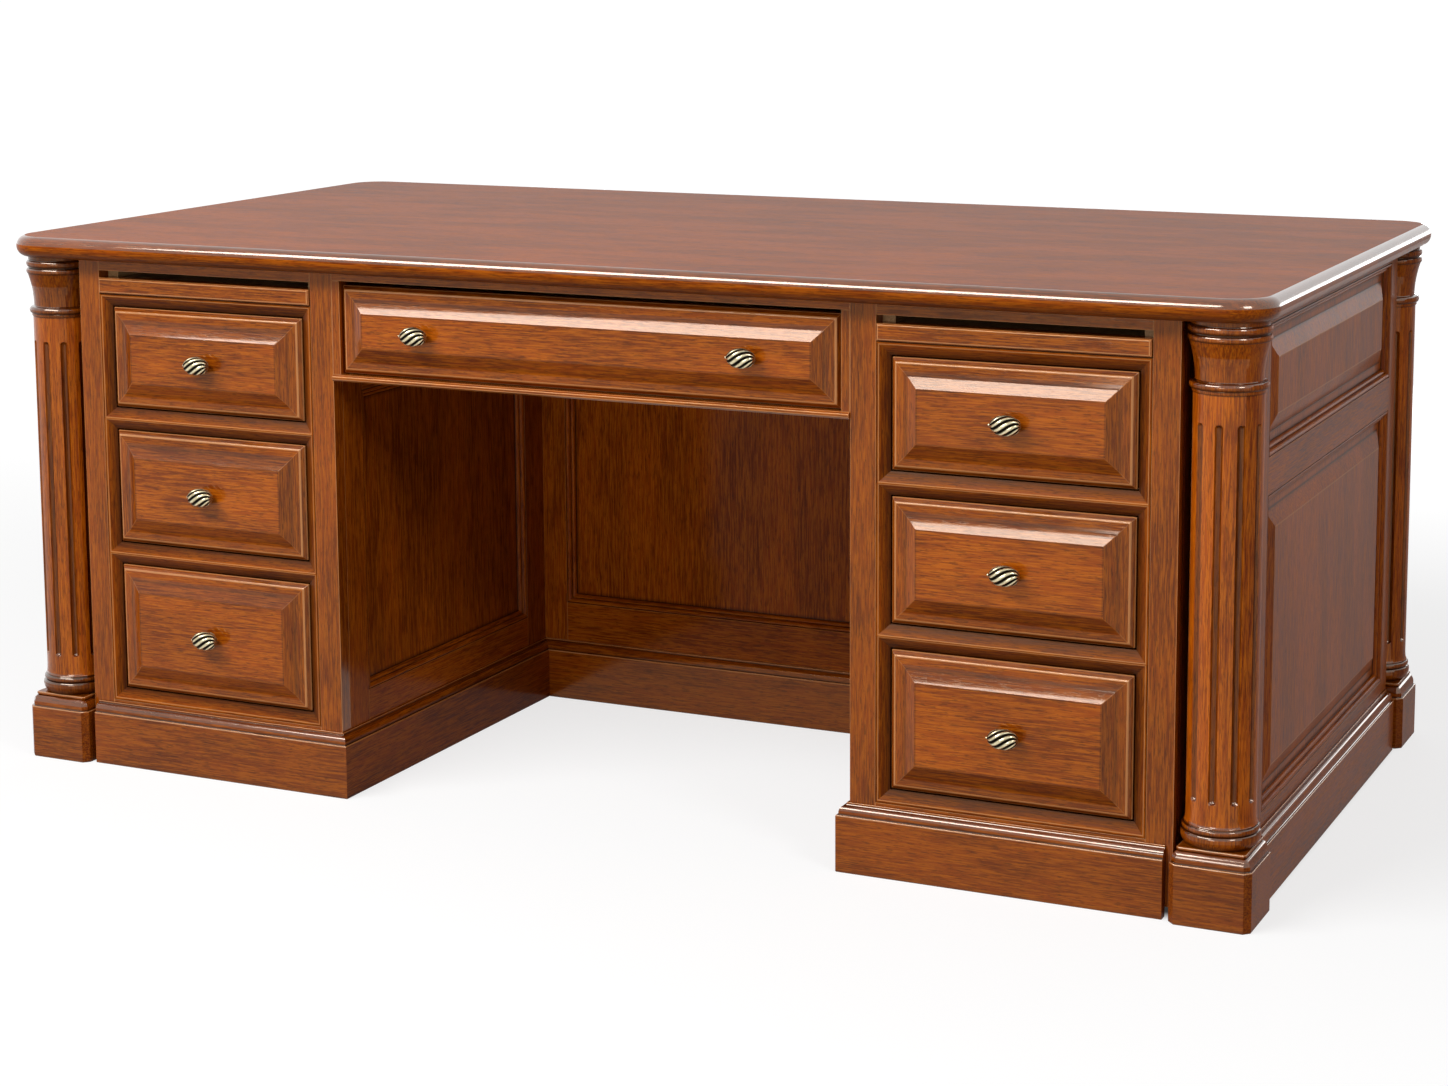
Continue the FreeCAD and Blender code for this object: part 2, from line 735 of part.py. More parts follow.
keep(group("corner_columns", columns), "corner_columns")


# swirl knob: a stem and an oval head with twisted reeds round a level axis
def reeded_rings():
    """Rings of crest and groove points from one end of the oval head to the other."""
    half = S.knob_length.value / 2
    girth = S.knob_height.value / 2
    rings = []
    for k in range(KNOB_BANDS + 1):
        slope = math.pi * (k / KNOB_BANDS - 0.5)
        along = math.sin(slope)
        twist = -math.radians(KNOB_TWIST_DEGREES) * along / 2
        if k in (0, KNOB_BANDS):
            rings.append([FreeCAD.Vector(half * along, -S.knob_stand.value, 0)] * (2 * REEDS))
            continue
        ring = []
        for j in range(2 * REEDS):
            angle = math.pi * j / REEDS + twist
            radius = girth * math.cos(slope) * (1 - S.reed_depth_share.value * (j % 2))
            across = radius * math.cos(angle) - S.knob_stand.value
            ring.append(FreeCAD.Vector(half * along, across, radius * math.sin(angle)))
        rings.append(ring)
    return rings


def faceted(outlines):
    """A solid closed by flat facets, each given by its corners."""
    shell = Part.Shell([Part.Face(Part.makePolygon([*corners, corners[0]])) for corners in outlines])
    shell.sewShape()
    solid = Part.Solid(shell)
    if solid.Volume < 0:
        solid.reverse()
    return solid


def reeded_head():
    """The oval head: every reed is a strip of flat facets from crest to groove."""
    rings = reeded_rings()
    facets = []
    for low, high in zip(rings, rings[1:]):
        for j in range(2 * REEDS):
            after = (j + 1) % (2 * REEDS)
            if low is not rings[0]:
                facets.append((low[j], low[after], high[j]))
            if high is not rings[-1]:
                facets.append((low[after], high[after], high[j]))
    return faceted(facets)


def stem_outline(width, stand):
    """The corners of the stem at one distance from the drawer."""
    points = []
    for j in range(KNOB_STEM_SIDES):
        angle = 2 * math.pi * j / KNOB_STEM_SIDES
        points.append(FreeCAD.Vector(width / 2 * math.cos(angle), -stand, width / 2 * math.sin(angle)))
    return points


def stem():
    """The stem, tapering from the drawer into the middle of the head."""
    foot = stem_outline(S.knob_foot_width.value, 0.0)
    neck = stem_outline(S.knob_stem_width.value, S.knob_stand.value)
    sides = [(foot[j - 1], foot[j], neck[j], neck[j - 1]) for j in range(KNOB_STEM_SIDES)]
    return faceted([foot, neck, *sides])


knob = doc.addObject("Part::Feature", "swirl_knob")
knob.Shape = stem().fuse(reeded_head())


def knob_at(name, x, z):
    """A knob on the field of a drawer front."""
    return group(name, [knob], x=x, y=FRONT - S.field_raise, z=z)


def middle(span):
    """The middle of a span."""
    return (span[0] + span[1]) / 2


def drawer_front(name, x, z):
    """A drawer front: bevelled edge, flat border, raised field."""
    field_x = shrink(x, S.front_border)
    field_z = shrink(z, S.front_border)
    front = Carving(name)
    front.add(x, (ZERO, S.front_thick), z)
    front.ease("Chamfer", S.front_edge_bevel, in_plane("Y", ZERO))
    front.taper(
        "AdditiveWedge", (-S.field_raise, ZERO),
        shrink(field_x, S.field_bevel), shrink(field_z, S.field_bevel), field_x, field_z,
    )
    return place(front.body, y=FRONT)


def drawer_box(name, x, z, length):
    """Two sides, a sub-front, a back and a bottom, all separate boards."""
    outer_x = shrink(x, S.box_inset)
    inner_x = shrink(outer_x, S.box_board)
    fore = S.front_thick
    rear = S.front_thick + length
    box_z = (z[0] + S.box_lift, z[1] - S.box_drop)
    bottom_z = box_z[0] + S.box_bottom_lift
    pieces = [
        board(f"{name}_low_side", (outer_x[0], inner_x[0]), (fore, rear), box_z),
        board(f"{name}_high_side", (inner_x[1], outer_x[1]), (fore, rear), box_z),
        board(f"{name}_sub_front", inner_x, (fore, fore + S.box_board), box_z),
        board(f"{name}_back", inner_x, (rear - S.box_board, rear), box_z),
        board(
            f"{name}_bottom", inner_x, (fore + S.box_board, rear - S.box_board),
            (bottom_z, bottom_z + S.box_bottom),
        ),
    ]
    return group(name, pieces, y=FRONT)


# six pedestal drawers
for level, clear_z in zip(("top", "middle", "bottom"), CLEAR_Z):
    name = f"{level}_drawer"
    drawer_z = shrink(clear_z, S.front_gap)
    knob_x = middle(DRAWER_X)
    keep_pair(drawer_front(f"right_{name}_front", DRAWER_X, drawer_z), f"{name}_front")
    keep_pair(drawer_box(f"right_{name}_box", DRAWER_X, drawer_z, S.drawer_length), f"{name}_box")
    keep(knob_at(f"right_{name}_knob", knob_x, middle(drawer_z)), f"right_{name}_knob")
    keep(knob_at(f"left_{name}_knob", -knob_x, middle(drawer_z)), f"left_{name}_knob")

# centre drawer
centre_x = shrink(knee_span, S.centre_strip + S.front_gap)
centre_z = (centre_drawer_base, centre_drawer_top)
centre_knobs = shrink(centre_x, S.centre_knob_inset)
keep(drawer_front("centre_drawer_front", centre_x, centre_z), "centre_drawer_front")
centre_box = drawer_box("centre_drawer_box", centre_x, centre_z, CENTRE_LENGTH)
keep(centre_box, "centre_drawer_box")
centre_pulls = [knob_at(f"centre_knob_{k}", x, middle(centre_z)) for k, x in enumerate(centre_knobs)]
keep(group("centre_drawer_knobs", centre_pulls), "centre_drawer_knobs")

# writing slides: a board on the partitions with an eased strip across its front
slide_x = shrink(OPENING_X, S.slide_clear)
slide_back = S.slide_front_thick - S.slide_proud
slide_inset = (S.slide_front_height - S.slide_board_thick) / 2
slide_z = (SLIDE_BASE + slide_inset, SLIDE_TOP - slide_inset)
strip = Carving("right_slide_front")
strip.add(slide_x, (-S.slide_proud, slide_back), (SLIDE_BASE, SLIDE_TOP))
strip.ease("Chamfer", S.slide_edge_bevel, in_plane("Y", -S.slide_proud))
keep_pair(place(strip.body, y=FRONT), "slide_front")
slide_board = board("slide_board", slide_x, (slide_back, slide_back + S.slide_length), slide_z)
keep_pair(group("right_slide_board", [slide_board], y=FRONT), "slide_board")

# inner cases: a bottom board and two partitions that carry the runners and the slide
inner_y = (FRONT + S.frame_thick, INSIDE)
case_base = S.plinth_height - S.case_bottom_drop
case_floor = case_base + S.case_bottom_thick
case_x = (KNEE + S.frame_thick, NOTCH_X - S.post_thick)
partition_z = (case_floor, slide_z[0] - S.running_clear)
partition_spans = (
    (CLEAR_X[0] - S.partition_thick, CLEAR_X[0]),
    (CLEAR_X[1], CLEAR_X[1] + S.partition_thick),
)
case_pieces = [board("case_bottom", case_x, inner_y, (case_base, case_floor))]
case_pieces += [board(f"partition_{k}", x, inner_y, partition_z) for k, x in enumerate(partition_spans)]
keep_pair(group("right_inner_case", case_pieces), "inner_case")

# top cleats over the partitions, holding the slide boards down
cleat_z = (slide_z[1] + S.running_clear, UNDER)
cleats = [board(f"cleat_{k}", x, inner_y, cleat_z) for k, x in enumerate(partition_spans)]
keep_both(group("right_cleats", cleats), "top_cleats")

# runners under both sides of every pedestal drawer
runner_y = (FRONT + S.frame_thick, FRONT + S.front_thick + S.drawer_length)
runner_spans = (
    (CLEAR_X[0], CLEAR_X[0] + S.runner_width),
    (CLEAR_X[1] - S.runner_width, CLEAR_X[1]),
)
runners = []
for level, clear_z in enumerate(CLEAR_Z):
    runner_top = clear_z[0] + S.front_gap + S.box_lift - S.running_clear
    for k, x in enumerate(runner_spans):
        runners.append(board(f"runner_{level}_{k}", x, runner_y, (runner_top - S.runner_thick, runner_top)))
keep_both(group("right_runners", runners), "drawer_runners")

# runners of the centre drawer, fixed to the knee frames
centre_runner_top = centre_drawer_base + S.box_lift - S.running_clear
centre_runner_y = (FRONT + S.frame_thick, FRONT + S.front_thick + CENTRE_LENGTH)
centre_runner_z = (centre_runner_top - S.runner_thick, centre_runner_top)
centre_runner_x = (KNEE - S.centre_runner_width, KNEE)
centre_runner = board("centre_runner", centre_runner_x, centre_runner_y, centre_runner_z)
keep_both(centre_runner, "centre_drawer_runners")

doc.recompute()
for obj in doc.Objects:
    if "Invalid" in obj.State or "Error" in obj.State:
        raise RuntimeError(f"{obj.Label} did not build: {obj.State}")
for obj in nodes:
    if obj.Shape.isNull() or not obj.Shape.isValid():
        raise RuntimeError(f"{obj.Label} has no valid shape")

os.makedirs("parts", exist_ok=True)
for obj in nodes:
    obj.Shape.exportStep(f"parts/{obj.Label}.step")
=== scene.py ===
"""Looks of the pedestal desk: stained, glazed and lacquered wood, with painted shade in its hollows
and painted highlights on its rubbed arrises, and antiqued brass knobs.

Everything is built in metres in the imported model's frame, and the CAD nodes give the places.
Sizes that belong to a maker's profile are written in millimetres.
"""
import json
import logging
import math
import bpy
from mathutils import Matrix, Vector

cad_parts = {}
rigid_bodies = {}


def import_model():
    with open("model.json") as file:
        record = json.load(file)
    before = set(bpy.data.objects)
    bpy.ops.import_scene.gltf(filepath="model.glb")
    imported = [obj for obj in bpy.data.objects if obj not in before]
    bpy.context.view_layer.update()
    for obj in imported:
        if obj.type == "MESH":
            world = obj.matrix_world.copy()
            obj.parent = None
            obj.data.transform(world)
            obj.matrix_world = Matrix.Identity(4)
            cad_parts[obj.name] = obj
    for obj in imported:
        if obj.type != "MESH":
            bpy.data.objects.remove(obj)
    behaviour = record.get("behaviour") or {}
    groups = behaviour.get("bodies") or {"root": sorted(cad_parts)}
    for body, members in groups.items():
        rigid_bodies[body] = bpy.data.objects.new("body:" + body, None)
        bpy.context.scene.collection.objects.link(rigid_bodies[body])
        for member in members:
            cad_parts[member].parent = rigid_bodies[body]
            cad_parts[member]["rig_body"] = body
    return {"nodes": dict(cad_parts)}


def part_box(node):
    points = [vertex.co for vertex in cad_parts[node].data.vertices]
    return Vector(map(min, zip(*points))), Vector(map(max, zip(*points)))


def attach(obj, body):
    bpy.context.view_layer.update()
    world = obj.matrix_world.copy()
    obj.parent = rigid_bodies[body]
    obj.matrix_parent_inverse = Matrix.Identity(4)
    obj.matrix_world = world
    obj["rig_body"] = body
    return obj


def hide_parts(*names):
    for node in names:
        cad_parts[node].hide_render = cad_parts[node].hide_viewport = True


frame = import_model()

import zlib
from dataclasses import dataclass, replace
from enum import Enum
from typing import Any, Iterable, Sequence

import bmesh
import bpy
import numpy as np
from mathutils import Matrix, Vector

log = logging.getLogger("pedestal_desk")
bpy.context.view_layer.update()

Array = np.ndarray
Material = bpy.types.Material
Socket = bpy.types.NodeSocket
Tree = bpy.types.NodeTree

MM = 0.001
X, Y, Z = (1, 0, 0), (0, 1, 0), (0, 0, 1)
MATH, VECTOR_MATH = "ShaderNodeMath", "ShaderNodeVectorMath"
MAP_RANGE = "ShaderNodeMapRange"
SMOOTH = {"interpolation_type": "SMOOTHSTEP"}
NUMBERS = {"data_type": "FLOAT"}
COLOURS = {"data_type": "RGBA"}


class Grain(Enum):
    """Where a wood pattern takes its direction: each board's own attribute, or one axis."""

    BOARDS = None
    ALONG_Y = (0.0, 0.0, -math.pi / 2)


class Slot(Enum):
    """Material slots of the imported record."""

    SHOW_WOOD = "show_wood"
    INNER_WOOD = "inner_wood"
    BRASS = "antique_brass"


class Side(Enum):
    """The two pedestals, by the sign of their place across the desk."""

    LEFT = -1
    RIGHT = 1

    def named(self, words: str) -> str:
        """The name of this side's node or body."""
        return f"{self.name.lower()}_{words}"


class Turn(Enum):
    """How a quarter curve leaves its first point: straight up, or level."""

    UPRIGHT = 0
    LEVEL = 1


def linear(colour: str) -> tuple[float, float, float, float]:
    """Turn an sRGB hex colour into linear RGBA.

    Args:
        colour: Text such as "#a05a2c".

    Returns:
        Red, green, blue and an alpha of one.
    """
    parts = [int(colour[k:k + 2], 16) / 255 for k in (1, 3, 5)]
    red, green, blue = (p / 12.92 if p <= 0.04045 else ((p + 0.055) / 1.055) ** 2.4 for p in parts)
    return (red, green, blue, 1.0)


def add_node(tree: Tree, kind: str, settings: dict[str, Any] | None = None,
             inputs: dict[str | int, Any] | None = None) -> bpy.types.Node:
    """Add a node with its settings and links.

    Args:
        tree: Tree that gets the node.
        kind: Blender's name of the node type.
        settings: Attributes of the node itself.
        inputs: Constants or output sockets, by input name or number.

    Returns:
        The new node.
    """
    node = tree.nodes.new(kind)
    for name, value in (settings or {}).items():
        setattr(node, name, value)
    for key, value in (inputs or {}).items():
        if isinstance(value, Socket):
            tree.links.new(value, node.inputs[key])
        else:
            node.inputs[key].default_value = value
    return node


def work_out(tree: Tree, value: Any, steps: Iterable[tuple[str, str, Any]]) -> Socket:
    """Pass a value through a row of nodes, each fed by the one before it.

    Args:
        tree: Tree that gets the nodes.
        value: What enters the first node.
        steps: Kind of each node, its operation, and its second operand or None.

    Returns:
        What leaves the last node.
    """
    for kind, operation, operand in steps:
        operands = {0: value} if operand is None else {0: value, 1: operand}
        value = add_node(tree, kind, {"operation": operation}, operands).outputs[0]
    return value


def bare_material(name: str) -> Material:
    """Start a material with an empty tree.

    Args:
        name: Name of the material.

    Returns:
        The material, without nodes.
    """
    material = bpy.data.materials.new(name)
    material.use_nodes = True
    material.node_tree.nodes.clear()
    return material


@dataclass(frozen=True)
class Pattern:
    """Noise in the wood, stretched along the grain.

    Low and high are the noise values that count as none and full, and share is how much of the
    pattern's colour shows where it is full.
    """

    along_mm: float
    across_mm: float
    octaves: float
    low: float
    high: float
    share: float
    roughness: float = 0.58
    distortion: float = 0.35

    def spread(self, tree: Tree, place: Socket) -> Socket:
        """Add the pattern to a material.

        Args:
            tree: Material tree.
            place: Grain coordinates in metres.

        Returns:
            A factor from zero to one.
        """
        across = 1 / (self.across_mm * MM)
        sized = add_node(tree, "ShaderNodeMapping", None, {
            "Vector": place, "Scale": (1 / (self.along_mm * MM), across, across),
        })
        noise = add_node(tree, "ShaderNodeTexNoise", None, {
            "Vector": sized.outputs[0], "Scale": 1.0, "Detail": self.octaves,
            "Roughness": self.roughness, "Distortion": self.distortion,
        })
        return add_node(tree, MAP_RANGE, SMOOTH, {
            "Value": noise.outputs[0], "From Min": self.low, "From Max": self.high,
        }).outputs[0]


@dataclass(frozen=True)
class WoodFinish:
    """Hardwood, stained red-brown, lacquered, and darkened in its hollows by glaze and painted
    shade.

    The eye sees long streaks with short dark pores on them, dark lines in every hollow, rubbed
    arrises and soft reflections in the lacquer. The dark lines are glaze and painted shade, and
    the pale arrises are wear and painted highlight. Real pores are 0.2 mm wide and streaks under a
    millimetre; both are drawn coarser so that they still show in a picture of the whole desk.
    """

    name: str
    light: str
    body: str
    dark: str
    pore: str
    # Colour of the dark glaze, which also paints the shade in hollows, creases and under mouldings.
    glaze: str
    # Colour of rubbed arrises, which also paints their highlights.
    arris_and_highlight: str
    lacquer: str = "#ffd8b4"
    figure: Pattern = Pattern(240.0, 64.0, 3.0, 0.36, 0.64, 0.7)
    streaks: Pattern = Pattern(46.0, 2.1, 4.0, 0.38, 0.64, 0.55)
    pores: Pattern = Pattern(16.0, 1.3, 2.0, 0.54, 0.62, 0.5)
    pore_depth_mm: float = 0.2
    pore_relief: float = 0.12
    tone_step: float = 0.1
    arris_and_highlight_share: float = 0.55
    glaze_share: float = 0.88
    roughness: tuple[float, float] = (0.09, 0.14)
    gloss: float = 0.45
    coat: float = 0.0
    coat_roughness: float = 0.06

    @staticmethod
    def stain(tree: Tree, colour: Any, layers: Iterable[tuple[Socket, float, str]]) -> Socket:
        """Lay colours over each other.

        Args:
            tree: Material tree.
            colour: The lowest colour, or its socket.
            layers: Where each colour shows, how much of it shows there, and the colour.

        Returns:
            The mixed colour.
        """
        for where, share, paint in layers:
            factor = work_out(tree, where, [(MATH, "MULTIPLY", share)])
            colour = add_node(tree, "ShaderNodeMix", COLOURS, {
                0: factor, 6: colour, 7: linear(paint),
            }).outputs[2]
        return colour

    def material(self, grain: Grain) -> Material:
        """Build the material for one way of finding the grain.

        Args:
            grain: Source of the grain's direction.

        Returns:
            The finished material.
        """
        material = bare_material(f"{self.name}_{grain.name.lower()}")
        tree = material.node_tree
        held = {name: add_node(tree, "ShaderNodeAttribute", {"attribute_name": name}).outputs
                for name in ("grain", "tone", "wear", "glaze")}
        place = held["grain"]["Vector"]
        if grain is not Grain.BOARDS:
            place = add_node(tree, "ShaderNodeMapping", None, {
                "Vector": add_node(tree, "ShaderNodeTexCoord").outputs["Object"],
                "Rotation": grain.value,
            }).outputs[0]
        figure, streaks, pores = (
            pattern.spread(tree, place) for pattern in (self.figure, self.streaks, self.pores))
        colour = self.stain(tree, linear(self.dark), [
            (figure, self.figure.share, self.body), (streaks, self.streaks.share, self.light),
            (pores, self.pores.share, self.pore),
        ])
        paler = work_out(tree, held["tone"]["Fac"], [
            (MATH, "MULTIPLY", self.tone_step), (MATH, "ADD", 1.0)])
        colour = add_node(tree, "ShaderNodeHueSaturation", None, {"Value": paler, "Color": colour})
        # Paler on rubbed arrises, as wear and painted highlight; darker in hollows, creases and
        # undersides, as glaze and painted shade.
        colour = self.stain(tree, colour.outputs[0], [
            (held["wear"]["Fac"], self.arris_and_highlight_share, self.arris_and_highlight),
            (held["glaze"]["Fac"], self.glaze_share, self.glaze),
        ])
        low, high = self.roughness
        rough = add_node(tree, MAP_RANGE, None, {"Value": streaks, "To Min": low, "To Max": high})
        bump = add_node(tree, "ShaderNodeBump", {"invert": True}, {
            "Strength": self.pore_relief, "Distance": self.pore_depth_mm * MM, "Height": pores,
        })
        shader = add_node(tree, "ShaderNodeBsdfPrincipled", None, {
            "Base Color": colour, "Roughness": rough.outputs[0], "Normal": bump.outputs[0],
            "Specular IOR Level": self.gloss, "Specular Tint": linear(self.lacquer),
            "Coat Weight": self.coat, "Coat Roughness": self.coat_roughness,
        })
        add_node(tree, "ShaderNodeOutputMaterial", None, {"Surface": shader.outputs[0]})
        return material


@dataclass(frozen=True)
class BrassFinish:
    """Cast brass, antiqued: pale where it is rubbed, near black where the patina stays.

    Tarnish gathers in specks under a millimetre wide, drawn coarser so that they show as clouds.
    """

    name: str
    rubbed: str
    tarnish: str
    patina: str
    speck_mm: float = 3.0
    octaves: float = 4.0
    specks: tuple[float, float] = (0.35, 0.7)
    speck_share: float = 0.5
    roughness: tuple[float, float] = (0.22, 0.62)

    def material(self) -> Material:
        """Build the material; the patina attribute says how deep a point lies in a groove.

        Returns:
            The finished material.
        """
        material = bare_material(self.name)
        tree = material.node_tree
        speck = add_node(tree, "ShaderNodeTexNoise", None, {
            "Vector": add_node(tree, "ShaderNodeTexCoord").outputs["Object"],
            "Scale": 1 / (self.speck_mm * MM), "Detail": self.octaves,
        })
        cloud = add_node(tree, MAP_RANGE, None, {
            "Value": speck.outputs[0], "From Min": self.specks[0], "From Max": self.specks[1],
            "To Max": self.speck_share,
        })
        groove = add_node(tree, "ShaderNodeAttribute", {"attribute_name": "patina"}).outputs["Fac"]
        colour = linear(self.rubbed)
        for where, paint in ((cloud.outputs[0], self.tarnish), (groove, self.patina)):
            colour = add_node(tree, "ShaderNodeMix", COLOURS, {
                0: where, 6: colour, 7: linear(paint),
            }).outputs[2]
        low, high = self.roughness
        rough = add_node(tree, MAP_RANGE, None, {"Value": groove, "To Min": low, "To Max": high})
        shader = add_node(tree, "ShaderNodeBsdfPrincipled", None, {
            "Base Color": colour, "Metallic": 1.0, "Roughness": rough.outputs[0],
        })
        add_node(tree, "ShaderNodeOutputMaterial", None, {"Surface": shader.outputs[0]})
        return material


# Cherry-toned hardwood under satin lacquer: warm red-brown with soft, clear reflections.
# Its glaze colour also paints shade in the hollows, and its arris colour highlights on the rubbed
# edges.
SHOW_WOOD = WoodFinish(
    "stained_hardwood_lacquer", light="#c2680f", body="#a24806", dark="#702c04", pore="#3a1604",
    glaze="#150702", arris_and_highlight="#dd9a60")
# The same lacquer rubbed down on sides, back and kneehole: an even, quiet sheen.
RUBBED_WOOD = replace(
    SHOW_WOOD, name="stained_hardwood_rubbed", arris_and_highlight="#b8743c", roughness=(0.4, 0.5), gloss=0.02,
    coat=0.12, coat_roughness=0.12)
# The top, rubbed down less: seen along its length it mirrors the pale room.
TABLE_WOOD = replace(RUBBED_WOOD, name="stained_hardwood_table", coat=0.16)
# Lips and bevels of the drawers, polished by hand: a shade darker, with crisper highlights.
POLISHED_WOOD = replace(
    SHOW_WOOD, name="stained_hardwood_polished", light="#ae5a0c", body="#8e3e05", dark="#622604",
    roughness=(0.07, 0.1), coat=0.35)
# Rings, nose and cappings, burnished: darkest of all, with narrow white highlights.
BURNISHED_WOOD = replace(
    SHOW_WOOD, name="stained_hardwood_burnished", light="#96480a", body="#783004", dark="#501c02",
    roughness=(0.06, 0.09), gloss=0.9, coat=1.0)
# Undersides and drawer surrounds, where the glaze was left standing: hardly any shine.
GLAZED_WOOD = replace(
    SHOW_WOOD, name="stained_hardwood_glazed", roughness=(0.3, 0.4), gloss=0.12)
# Birch for drawer boxes and slides, thinly sealed: pale, fine-pored and nearly matt.
INNER_WOOD = WoodFinish(
    "birch_drawer_stock", light="#cfa878", body="#bd9160", dark="#a2764a", pore="#7c5632",
    glaze="#3a2514", arris_and_highlight="#d8b68a", lacquer="#ffffff",
    pores=replace(SHOW_WOOD.pores, share=0.3), roughness=(0.4, 0.5), gloss=0.2)
# Antiqued brass: bright worn reeds between black grooves.
KNOB_BRASS = BrassFinish(
    "antiqued_cast_brass", rubbed="#e6dab6", tarnish="#94804e", patina="#0e0a06")


@dataclass(frozen=True)
class Coats:
    """Materials of one piece, by where its faces look.

    Plain is for the whole piece, crown for mouldings that look up, soffit for mouldings that look
    down and flank for faces that look left or right. What isn't given stays plain.
    """

    plain: Material
    crown: Material | None = None
    soffit: Material | None = None
    flank: Material | None = None


@dataclass(frozen=True)
class Step:
    """One point of a moulding's profile, in millimetres.

    Glaze is how much dark glaze and painted shade lie there, rub the width of a corner that is
    rubbed round and painted pale as wear and highlight, and corner numbers the points that such a
    corner is made of.
    """

    inset: float
    rise: float
    glaze: float = 0.0
    rub: float = 0.0
    corner: int = 0


def quarter(start: Step, end: Step, turn: Turn, count: int = 7, fade: float = 3.0) -> list[Step]:
    """Join two points by a quarter of an ellipse.

    Args:
        start: First point, which isn't repeated.
        end: Last point.
        turn: How the curve leaves the first point.
        count: Points to make.
        fade: How fast the first point's glaze and painted shade thin along the curve.

    Returns:
        The points after the first.
    """
    points = []
    for k in range(1, count + 1):
        angle = math.pi / 2 * k / count
        slow, fast = 1 - math.cos(angle), math.sin(angle)
        across, up = (slow, fast) if turn is Turn.UPRIGHT else (fast, slow)
        points.append(Step(
            start.inset + (end.inset - start.inset) * across,
            start.rise + (end.rise - start.rise) * up,
            end.glaze if k == count else start.glaze * max(0.0, 1 - fade * (k / count)),
        ))
    return points


def soften(steps: Sequence[Step], count: int = 4, most: float = 0.45) -> list[Step]:
    """Round the rubbed corners of a profile.

    Args:
        steps: Points of the profile.
        count: Stretches on each round corner.
        most: Share of a neighbouring stretch that a corner may take.

    Returns:
        The profile with its round corners.
    """
    made = []
    for number, step in enumerate(steps):
        if not step.rub:
            made.append(step)
            continue
        here = np.array((step.inset, step.rise))
        ends = []
        for other in (steps[number - 1], steps[number + 1]):
            away = np.array((other.inset, other.rise)) - here
            length = np.linalg.norm(away)
            ends.append(here + away / length * min(step.rub, most * length))
        for t in np.linspace(0, 1, count + 1):
            spot = (1 - t) ** 2 * ends[0] + 2 * t * (1 - t) * here + t ** 2 * ends[1]
            made.append(Step(*spot, step.glaze, corner=number))
    return made


def rectangle(span: Sequence[float]) -> Array:
    """Corners of a rectangle, counter-clockwise, from its low and high across and up."""
    low_u, high_u, low_v, high_v = span[:4]
    return np.array([(low_u, low_v), (high_u, low_v), (high_u, high_v), (low_u, high_v)])


def rounded(span: Sequence[float], radius: float, count: int = 14) -> Array:
    """A rectangle with round corners.

    Args:
        span: Low and high across, low and high up.
        radius: Corner radius.
        count: Steps in each corner.

    Returns:
        Outline points, counter-clockwise.
    """
    low_u, high_u, low_v, high_v = span[:4]
    near_u, far_u, near_v, far_v = low_u + radius, high_u - radius, low_v + radius, high_v - radius
    points = []
    for u, v, start in ((far_u, near_v, -90), (far_u, far_v, 0), (near_u, far_v, 90),
                        (near_u, near_v, 180)):
        for k in range(count + 1):
            angle = math.radians(start + 90 * k / count)
            points.append((u + radius * math.cos(angle), v + radius * math.sin(angle)))
    return np.array(points)


def inset(outline: Array, distance: float, closed: bool = True) -> Array:
    """Move an outline to its left by a distance, keeping its corners mitred.

    Args:
        outline: Points in order.
        distance: Metres to the left of the walking direction.
        closed: Whether the last point joins the first.

    Returns:
        The moved points.
    """
    shortest = 1e-12
    along = np.roll(outline, -1, axis=0) - outline
    along /= np.maximum(np.linalg.norm(along, axis=1, keepdims=True), shortest)
    left = np.stack([-along[:, 1], along[:, 0]], axis=1)
    before = np.roll(left, 1, axis=0)
    if not closed:
        before[0] = left[0]
        left[-1] = before[-1]
    share = 1 + np.sum(before * left, axis=1, keepdims=True)
    return outline + (before + left) / share * distance


class Facing(Enum):
    """Directions a surface can look, as its across, up and outward axes."""

    FRONT = ((1, 0, 0), (0, 0, 1), (0, -1, 0))
    BACK = ((-1, 0, 0), (0, 0, 1), (0, 1, 0))
    RIGHT = ((0, 1, 0), (0, 0, 1), (1, 0, 0))
    LEFT = ((0, -1, 0), (0, 0, 1), (-1, 0, 0))
    UP = ((1, 0, 0), (0, 1, 0), (0, 0, 1))

    def spans(self, low: Array, high: Array) -> tuple[float, ...]:
        """Low and high of a box along the three axes of this direction."""
        ends = np.array(self.value, float) @ np.stack([low, high], axis=1)
        return tuple(value for pair in np.sort(ends, axis=1) for value in pair)

    def place(self, outline: Array, out: float) -> Array:
        """Set a flat outline in space at a distance along the outward axis."""
        axes = np.array(self.value, float)
        return outline[:, :1] * axes[0] + outline[:, 1:] * axes[1] + out * axes[2]


